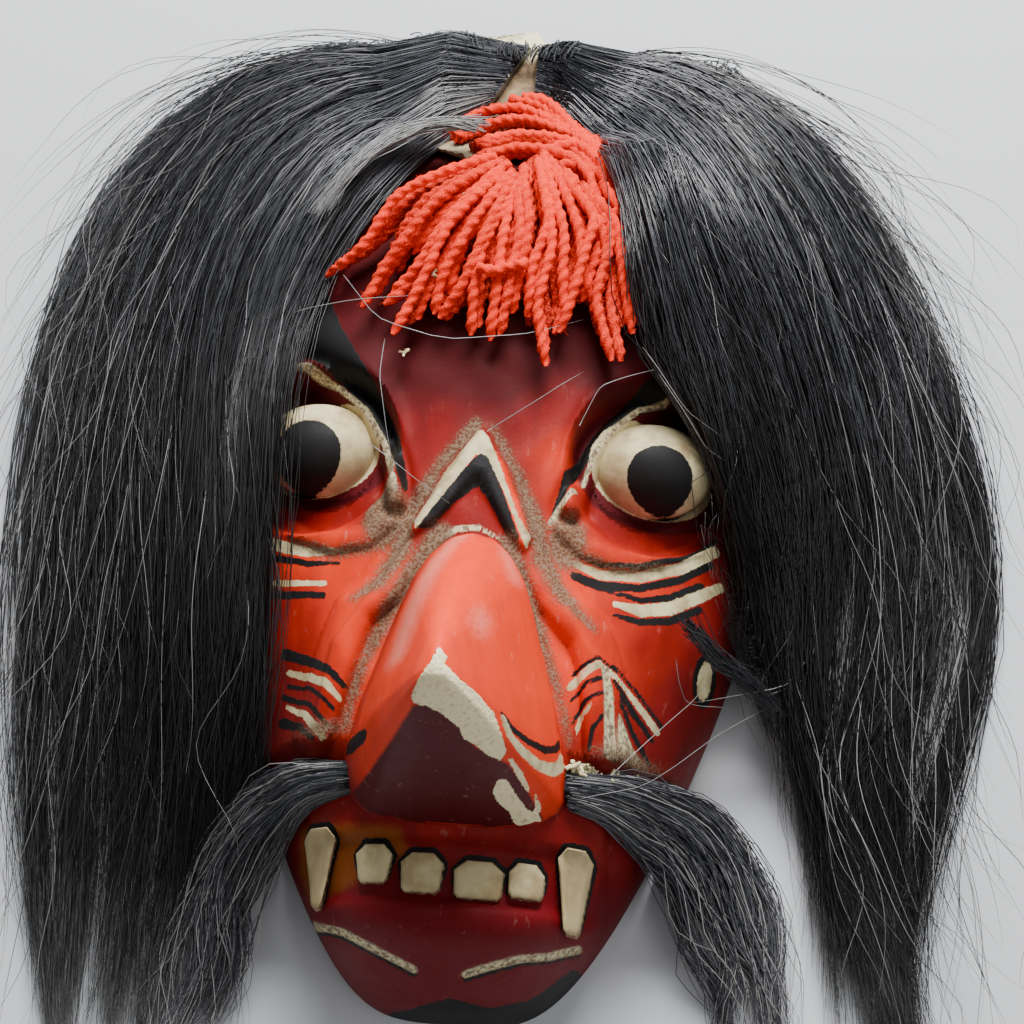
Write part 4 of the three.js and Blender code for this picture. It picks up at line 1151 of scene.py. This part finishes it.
class TOPENG_OT_hair(bpy.types.Operator):
    """Lay the two falls of hair over the crown and temples"""

    bl_idname = "topeng.hair"
    bl_label = "Hair"

    def execute(self, context):
        sizes = context.scene.topeng_sizes
        material = hair_material(context.scene.topeng_colours)
        thin = sizes.hair * 500
        taper = np.interp(np.linspace(0, 1, STEPS), [0, 0.1, 0.75, 1], [0.8, 1, 0.85, 0.2])
        for side, guides, wave, seed in (("left", HAIR_LEFT, 1.5, 11), ("right", HAIR_RIGHT, 2.4, 23)):
            sheet = Fall(guides, 13, LONG, HAIR_LOCKS[side])
            rng = np.random.default_rng(seed + 7)
            adopt(undercoat(f"hair_{side}_under", sheet, 0.5, rng, 0.56), f"hair_{side}", material)
            for part in range(2):
                rng = np.random.default_rng(seed + part)
                count = sizes.strands
                paths = lock_paths(sheet, rng, count, 26, wave, seed)
                radii = thin * rng.uniform(0.7, 1.3, (count, 1)) * taper
                # Hairs are painted darker towards the bottom, as painted shade.
                tones = hair_tones(rng, count, 0.015) * (1 - 0.85 * ease(paths[..., 1], 85, 0))
                # Half the hairs that start low at the parting, on the left, are grey at their roots.
                root = (paths[:, 0, 1] < 120) & (paths[:, 5, 0] < -15) & (paths[:, 5, 0] > -62)
                pale = (root & (rng.uniform(size=count) < 0.5))[:, None] * ease(np.arange(STEPS), 5, 1)
                # Hair on the crown is a little paler: painted sheen from the lamp above.
                crown_sheen = 0.3 * ease(paths[..., 1], 55, 115)
                tones = np.where(tones < 0.87, np.minimum(tones + crown_sheen, 0.86), tones)
                tones = np.maximum(tones, pale)
                obj = strands(f"hair_{side}_{part + 1}", paths, radii, tones)
                adopt(obj, f"hair_{side}", material)
            rng = np.random.default_rng(seed + 3)
            paths = list(stray_paths(sheet, rng, STRAYS, 14 if side == "left" else 18))
            count = len(paths)
            tones = list(np.where(rng.uniform(size=(count, 1)) < 0.2, 0.95, 0.15) * np.ones(STEPS))
            radii = list(0.11 * rng.uniform(0.8, 1.2, (count, 1)) * taper)
            for path in nape_paths(rng, NAPE_HAIRS, -1 if side == "left" else 1):
                paths.append(path)
                tones.append(np.full(len(path), 0.5 * rng.uniform()))
                radii.append(np.full(len(path), 0.2))
            # The tuft and the lock lie over the rest: line, hairs, height and tone of each.
            guide, hairs, high, tone = (TUFT, 70, 9, 0.3) if side == "right" else (GREY_LOCK, 130, 13, 1.0)
            for _ in range(hairs):
                line = resample(np.array(guide) + rng.normal(0, 1.5, (len(guide), 2)), STEPS)
                paths.append(np.column_stack([line, hair_seat(*line.T) + high + rng.normal(0, 1.2)]))
                tones.append(np.linspace(tone, tone * 0.95, STEPS))
                radii.append(0.14 * taper)
            if side == "right":
                for lift, points in FACE_HAIRS:
                    line = resample(points, STEPS)
                    high = np.maximum(shoulder(*line.T), fall(*line.T)) + lift * 0.55
                    paths.append(np.column_stack([line, high + 2 * np.sin(np.linspace(0, math.pi, STEPS))]))
                    tones.append(np.full(STEPS, 1.0))
                    radii.append(0.11 * taper)
            adopt(strands(f"hair_{side}_stray", paths, radii, tones), f"hair_{side}", material)
        return {"FINISHED"}


class TOPENG_OT_moustache(bpy.types.Operator):
    """Set the two halves of the moustache into the slots under the cheeks"""

    bl_idname = "topeng.moustache"
    bl_label = "Moustache"

    def execute(self, context):
        sizes = context.scene.topeng_sizes
        colours = context.scene.topeng_colours
        material = hair_material(colours)
        taper = np.interp(np.linspace(0, 1, STEPS), [0, 0.1, 0.7, 1], [0.9, 1, 0.85, 0.2])
        sides = (("left", MOUSTACHE_LEFT, 1.0, 31, 560), ("right", MOUSTACHE_RIGHT, 1.8, 37, 460))
        for side, guides, wave, seed, count in sides:
            rng = np.random.default_rng(seed)
            rises = [(0, 0.3), (0.25, 0.8), (0.6, 1), (1, 0.7)]
            sheet = Fall(guides, 8, rises, (0.15, 1.0, 1.8))
            paths = lock_paths(sheet, rng, count, 9, wave, seed)
            radii = sizes.hair * 500 * rng.uniform(0.7, 1.2, (count, 1)) * taper
            # Moustache hairs are painted lighter, as painted sheen.
            tones = np.minimum(hair_tones(rng, count, 0.015) + 0.3, 1)
            obj = strands(f"moustache_{side}_hairs", paths, radii, tones)
            adopt(obj, f"moustache_{side}", material)
            under = undercoat(f"moustache_{side}_under", sheet, 0.4, rng, 0.5, 26, 24)
            adopt(under, f"moustache_{side}", material)
            if side == "right":
                scraps = []
                for x in rng.uniform(25, 45, 90):
                    y = -56.6 - 0.09 * (x - 25) + rng.normal(0, 0.5)
                    at = np.array([x, y, float(fall(np.array([x]), np.array([y]))[0]) + rng.uniform(0.5, 2.5)])
                    lean = rng.normal(0, 0.9, 3)
                    scraps.append(np.array([at - lean, at + rng.normal(0, 0.3, 3), at + lean]))
                size = [np.array([0.25, 0.6, 0.3])] * len(scraps)
                strip = strands("moustache_hide", scraps, size, [0.0] * len(scraps), [1] * 6)
                paint(strip, "pale", np.full(len(strip.data.vertices), 0.8))
                adopt(strip, "moustache_right", hide_material(colours))
        return {"FINISHED"}


def yarn_material(colours):
    """Twisted red wool: matte, with fuzz of about 0.45 mm, and painted shade that darkens it deep in the
    tassel.
    """
    material, tree, shader = new_material("wool yarn")
    tone = layer_of(tree, "tone")
    fuzz = noise(tree, 0.45, 3)
    shade = mix(tree, step(tree, tone, 0.0, 1.0), colours.yarn, colours.yarn_in_shade)
    shade = mix(tree, step(tree, fuzz, 0.45, 0.75), shade, colours.yarn_light)
    shade = mix(tree, step(tree, tone, 1.9, 2.0), shade, colours.cream)
    tree.links.new(shade, shader.inputs["Base Color"])
    shader.inputs["Roughness"].default_value = 0.95
    shader.inputs["Specular IOR Level"].default_value = 0.15
    shader.inputs["Sheen Weight"].default_value = 0.18
    shader.inputs["Sheen Tint"].default_value = (*colours.yarn_light, 1)
    bump = node(tree, "ShaderNodeBump", {"Height": fuzz, "Strength": 0.7, "Distance": 0.0004})
    tree.links.new(bump.outputs[0], shader.inputs["Normal"])
    return material


# Lines of the yarns: the fan over the forehead, and the loops at its knot
FAN = [
    [(-3, 85.6), (-23.7, 73.5), (-31.6, 61.3), (-40.5, 56.2)],
    [(-3.9, 82.1), (-17.1, 68.8), (-22.8, 64.8), (-26.8, 62.2)],
    [(-0.5, 84.9), (-14, 73.9), (-25.1, 58), (-29.5, 48.2)],
    [(0.9, 83.3), (-13, 64.6), (-20.2, 51.1), (-25.6, 46.1)],
    [(0.2, 80), (-10.7, 64.7), (-17, 49.8), (-20.7, 39.4)],
    [(2.9, 81), (-7.7, 64.8), (-13, 51.2), (-14.4, 40.7)],
    [(3.7, 80), (-4.5, 62.2), (-8, 48.7), (-12.2, 42.1)],
    [(4.9, 80), (-3, 59.5), (-4.5, 48.9), (-4.2, 37.5)],
    [(2.4, 78), (0.3, 62.5), (0.6, 50.5), (-0.3, 40.9)],
    [(5.9, 81.3), (4.2, 65.5), (1.4, 55.8), (2.6, 41.1)],
    [(5.7, 82.9), (6.9, 68.5), (5.5, 56.1), (5.8, 44.5)],
    [(7.3, 85.7), (11.8, 66.2), (8, 55), (7.7, 43.4)],
    [(7.9, 85.7), (13.4, 60.9), (9.8, 46.1), (11.9, 34.1)],
    [(9, 87.7), (16.2, 64), (16.4, 52), (18.1, 44.2)],
    [(11.7, 83.6), (18.9, 67.2), (20.7, 57.9), (23.1, 52)],
    [(11.5, 86.2), (21.7, 70.5), (24.6, 62.6), (24.4, 50)],
    [(15, 80), (23.6, 68), (19.9, 52.4), (15.6, 38.7)],
    [(18.1, 78.9), (26.7, 65.8), (23.8, 47.4), (28.2, 32.6)],
    [(21.5, 76), (28.3, 67.4), (30.2, 55.3), (33.9, 40)],
    [(23, 80), (32, 66), (36, 56), (41, 46)],
]
LOOPS = [
    [(-17.1, 99.3), (-9.5, 107.6), (0.6, 109.5), (13.4, 101.6), (21.9, 96.8), (26.1, 87.5), (27.1, 80.9),
        (24.4, 74), (18.7, 70)],
    [(-14, 97), (-7, 103), (2, 105), (12, 101), (20, 95), (25, 85), (25.5, 78), (21, 71)],
    [(-8.2, 94.1), (1.2, 98.8), (10.6, 97.6), (18.3, 94.5), (23.7, 86.8), (24.8, 78.7), (19.8, 71.7)],
    [(-5, 90), (2, 93), (9, 92), (16, 90), (21, 84), (22, 78), (17, 73)],
    [(0.2, 113.5), (6.8, 112.1), (13.8, 104.7), (20.7, 95.2), (25.8, 86.5), (26.1, 77.4)],
    [(9.1, 85.9), (16.3, 87.9), (22.7, 83.1), (23.6, 77.7), (19.6, 75.3)],
    [(4.5, 82.8), (8.6, 92.5), (16.9, 95.9), (23.5, 89.6), (26.5, 80.7), (24.7, 69.7)],
    [(6, 108), (14, 104), (22, 97), (27, 88), (28.5, 80)],
]
SHORT = [[(30.1, 81.7), (28, 75.6), (24.8, 69)], [(-4.4, 54.1), (-0.1, 53.1), (3.9, 54.7), (7.3, 55.9)]]
# Pale crumbs caught in the yarn, each with its height over the forehead
CRUMBS = [(-21.8, 50.2, 5), (-19.3, 35.6, 3), (-14.5, 53.9, 8), (-8.7, 71.7, 12.5), (-16, 57, 8)]
YARN_STEPS = 44
FLUFF = 3400


def yarn_paths(rng, thick):
    """Paths of the yarns and how deep each lies in the tassel, from 0 on top to 1."""
    t = np.linspace(0, 1, YARN_STEPS)
    paths, depths = [], []

    def lay(points, jitter, height, depth, stretch=1.0):
        line = resample(points, YARN_STEPS)
        line = line[0] + (line - line[0]) * stretch + rng.normal(0, jitter, 2) * (0.3 + 0.7 * t[:, None])
        line[:, 0] += rng.normal(0, 0.7) * np.sin(math.pi * 2 * t + rng.uniform(0, 6))
        z = crown(*line.T) + 1.8 + thick / 2 + height
        paths.append(np.column_stack([line, z]))
        depths.append(depth)

    between = [np.array(a)[:3] * 0.5 + np.array(b)[:3] * 0.5 for a, b in zip(FAN, FAN[1:]) if len(a) == len(b)]
    for level in range(5):
        for points in FAN if level != 1 else between:
            body = (9.5 - 2.1 * level) * np.sin(math.pi * (0.36 + 0.6 * t)) ** 0.8
            jitter = 0.7 if level == 0 else 1.6
            lay(points, jitter, body + rng.uniform(0, 1.2), level / 4, rng.uniform(0.9, 1.04) - 0.03 * level)
    for level in range(3):
        for points in LOOPS:
            body = (6.5 - 1.8 * level) * (0.55 + 0.45 * np.sin(math.pi * t))
            lay(points, 0.7 + 0.6 * level, body, level / 3)
    for points in SHORT:
        lay(points, 0.2, 9.5 * np.ones(YARN_STEPS), 0)
    return paths, depths


class TOPENG_OT_tassel(bpy.types.Operator):
    """Lay the yarn tassel on the forehead"""

    bl_idname = "topeng.tassel"
    bl_label = "Tassel"

    def execute(self, context):
        rng = np.random.default_rng(5)
        thick = context.scene.topeng_sizes.yarn * 1000
        paths, depths = yarn_paths(rng, thick)
        radii, turns, tones = [], [], []
        for path, depth in zip(paths, depths):
            run = np.r_[0, np.cumsum(np.linalg.norm(np.diff(path, axis=0), axis=1))]
            wide = thick / 2 * (1 + 0.1 * np.sin(run * 0.9 + rng.uniform(0, 6)))
            wide[-3:] *= (0.95, 0.85, 0.5)
            radii.append(wide)
            turns.append(run / 5.6 * 2 * math.pi + rng.uniform(0, 6))
            # Each yarn's tone: a random part, and painted shade that darkens the deeper yarns.
            tones.append(np.clip(rng.uniform(-0.1, 0.4) + 0.75 * depth, 0, 1))
        ring = [1 + 0.17 * math.cos(2 * 2 * math.pi * i / 8) for i in range(8)]
        material = yarn_material(context.scene.topeng_colours)
        adopt(strands("tassel_yarn", paths, radii, tones, ring, turns), "tassel", material)
        fluff = []
        for _ in range(FLUFF):
            path = paths[rng.integers(len(paths))]
            out = rng.normal(0, 1, 3)
            out = out / np.linalg.norm(out) * [1, 1, 0.9]
            bend = rng.normal(0, 0.45, 3)
            base = path[rng.integers(1, YARN_STEPS - 1)] + out * thick * 0.42
            fluff.append(np.array([base, base + out * 0.5 + bend * 0.3, base + out * 0.9 + bend]))
        fine = [np.array([0.08, 0.06, 0.02])] * len(fluff)
        adopt(strands("tassel_fluff", fluff, fine, rng.uniform(0, 0.7, len(fluff))), "tassel", material)
        crumbs = []
        for x, y, high in CRUMBS:
            seat = float(crown(np.array([x]), np.array([y]))[0])
            for _ in range(4):
                at = np.array([x, y, seat + high]) + rng.normal(0, 0.4, 3)
                crumbs.append(np.array([at, at + rng.normal(0, 0.5, 3), at + rng.normal(0, 0.8, 3)]))
        size = [np.array([0.3, 0.45, 0.25])] * len(crumbs)
        adopt(strands("tassel_crumbs", crumbs, size, [2.0] * len(crumbs), [1] * 6), "tassel", material)
        return {"FINISHED"}


def hide_material(colours):
    """Rawhide, scraped and dried: brown in blotches of 5 mm, paler where it is thin at the edge."""
    material, tree, shader = new_material("rawhide")
    blotch = noise(tree, 5, 4)
    shade = mix(tree, step(tree, blotch, 0.35, 0.7), colours.hide, colours.timber)
    shade = mix(tree, layer_of(tree, "pale"), shade, colours.hide_edge)
    tree.links.new(shade, shader.inputs["Base Color"])
    shader.inputs["Roughness"].default_value = 0.75
    bump = node(tree, "ShaderNodeBump", {"Height": noise(tree, 1, 4), "Strength": 0.6, "Distance": 0.0005})
    tree.links.new(bump.outputs[0], shader.inputs["Normal"])
    return material


class TOPENG_OT_hide(bpy.types.Operator):
    """Lay the rawhide patch over the crown"""

    bl_idname = "topeng.hide"
    bl_label = "Hide"

    def execute(self, context):
        material = hide_material(context.scene.topeng_colours)
        rings = []
        steps, across = 60, 44
        for i in range(steps):
            share = i / (steps - 1)
            x = np.linspace(-15 - 24 * share, 16 + 3 * share, across)
            x = x + 0.8 * math.sin(i * 0.9) + 0.5 * math.sin(i * 2.3)
            ragged = 1.1 * np.sin(x * 0.8) + 0.8 * np.sin(x * 2.1 + 1)
            y = 92 + 42.5 * share + ragged * (abs(2 * share - 1) ** 3) + 4 * share * bell(x - 1, 5)
            seat = crown(x, y) + 1.8 + 0.5 * np.sin(x * 0.3) * share
            top = np.column_stack([x, y, seat + 1.6])
            low = np.column_stack([x, y, seat])
            rings.append(np.concatenate([top, low[::-1]]))
        patch = tube("hide_patch", row(np.array(rings)), 50)
        y = (coordinates(patch)[:, 1] - OFFSET[1]) * 1000
        paint(patch, "pale", ease(y, 127, 132) + 0.5 * ease(y, 98, 94))
        adopt(patch, "scalp_hide", material)
        return {"FINISHED"}


# The stage: soft lamps (name, place in metres, size in metres, watts), an even room light and
# the camera, which looks down from the chin side as in the photograph.
LAMPS = [
    ("key", (0.06, 0.62, 0.6), 0.4, 20.0),
    ("fill", (0.55, -0.15, 1.1), 0.9, 3.4),
    ("chin", (-0.4, -0.9, 0.8), 0.8, 0.8),
]
ROOM_LIGHT = 0.23
FLOOR_GAP = 0.0002
SENSOR, FOCAL_PIXELS, PICTURE_WIDTH = 36, 2300, 1024
CAMERA_ANGLES = (16, 3, 4.5)
CAMERA_AIM = (7.8, 0, 55)
CAMERA_FAR = 0.5227


class TOPENG_OT_stage(bpy.types.Operator):
    """Set the floor, lights and camera"""

    bl_idname = "topeng.stage"
    bl_label = "Stage"

    def execute(self, context):
        colours = context.scene.topeng_colours
        bm = bmesh.new()
        bmesh.ops.create_grid(bm, x_segments=1, y_segments=1, size=3)
        floor = finish_mesh("floor", bm, 0)
        material, _, shader = new_material("paper")
        shader.inputs["Base Color"].default_value = (*colours.floor, 1)
        shader.inputs["Roughness"].default_value = 0.9
        floor.data.materials.append(material)
        floor.location.z = -FLOOR_GAP

        for name, place, size, power in LAMPS:
            data = bpy.data.lights.new(name, "AREA")
            data.size, data.energy = size, power
            lamp = bpy.data.objects.new(name, data)
            lamp.location = place
            lamp.rotation_euler = (Vector((0, 0, 0.05)) - Vector(place)).to_track_quat("-Z", "Y").to_euler()
            context.scene.collection.objects.link(lamp)
        world = bpy.data.worlds.new("studio")
        world.use_nodes = True
        background = world.node_tree.nodes["Background"]
        background.inputs["Color"].default_value = (*srgb("#e6e9ee"), 1)
        background.inputs["Strength"].default_value = ROOM_LIGHT
        context.scene.world = world

        data = bpy.data.cameras.new("camera")
        data.sensor_width = SENSOR
        data.lens = SENSOR * FOCAL_PIXELS / PICTURE_WIDTH
        camera = bpy.data.objects.new("camera", data)
        pitch, yaw, roll = (math.radians(v) for v in CAMERA_ANGLES)
        back = Vector((math.sin(yaw) * math.cos(pitch), -math.sin(pitch), math.cos(yaw) * math.cos(pitch)))
        right = (-back).cross(Vector((0, 1, 0))).normalized()
        up = right.cross(-back)
        turned_right = math.cos(roll) * right + math.sin(roll) * up
        turned_up = math.cos(roll) * up - math.sin(roll) * right
        basis = Matrix((turned_right, turned_up, back)).transposed()
        target = Vector(row(CAMERA_AIM))
        camera.matrix_world = Matrix.Translation(target + back * CAMERA_FAR) @ basis.to_4x4()
        context.scene.collection.objects.link(camera)
        context.scene.camera = camera
        return {"FINISHED"}


class TOPENG_PT_panel(bpy.types.Panel):
    """Buttons that build each part of the mask"""

    bl_idname = "TOPENG_PT_panel"
    bl_label = "Topeng mask"
    bl_space_type = "VIEW_3D"
    bl_region_type = "UI"
    bl_category = "Topeng"

    def draw(self, context):
        for operator in OPERATORS:
            self.layout.operator(operator.bl_idname)


OPERATORS = (
    TOPENG_OT_mask,
    TOPENG_OT_hide,
    TOPENG_OT_hair,
    TOPENG_OT_moustache,
    TOPENG_OT_tassel,
    TOPENG_OT_stage,
)
CLASSES = (TopengSizes, TopengColours, *OPERATORS, TOPENG_PT_panel)


def register():
    for cls in CLASSES:
        bpy.utils.register_class(cls)
    bpy.types.Scene.topeng_sizes = PointerProperty(type=TopengSizes)
    bpy.types.Scene.topeng_colours = PointerProperty(type=TopengColours)


def unregister():
    del bpy.types.Scene.topeng_sizes
    del bpy.types.Scene.topeng_colours
    for cls in reversed(CLASSES):
        bpy.utils.unregister_class(cls)


def main():
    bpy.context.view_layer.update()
    register()
    bpy.ops.topeng.mask()
    bpy.ops.topeng.hide()
    bpy.ops.topeng.hair()
    bpy.ops.topeng.moustache()
    bpy.ops.topeng.tassel()
    bpy.ops.topeng.stage()


if __name__ == "__main__":
    main()
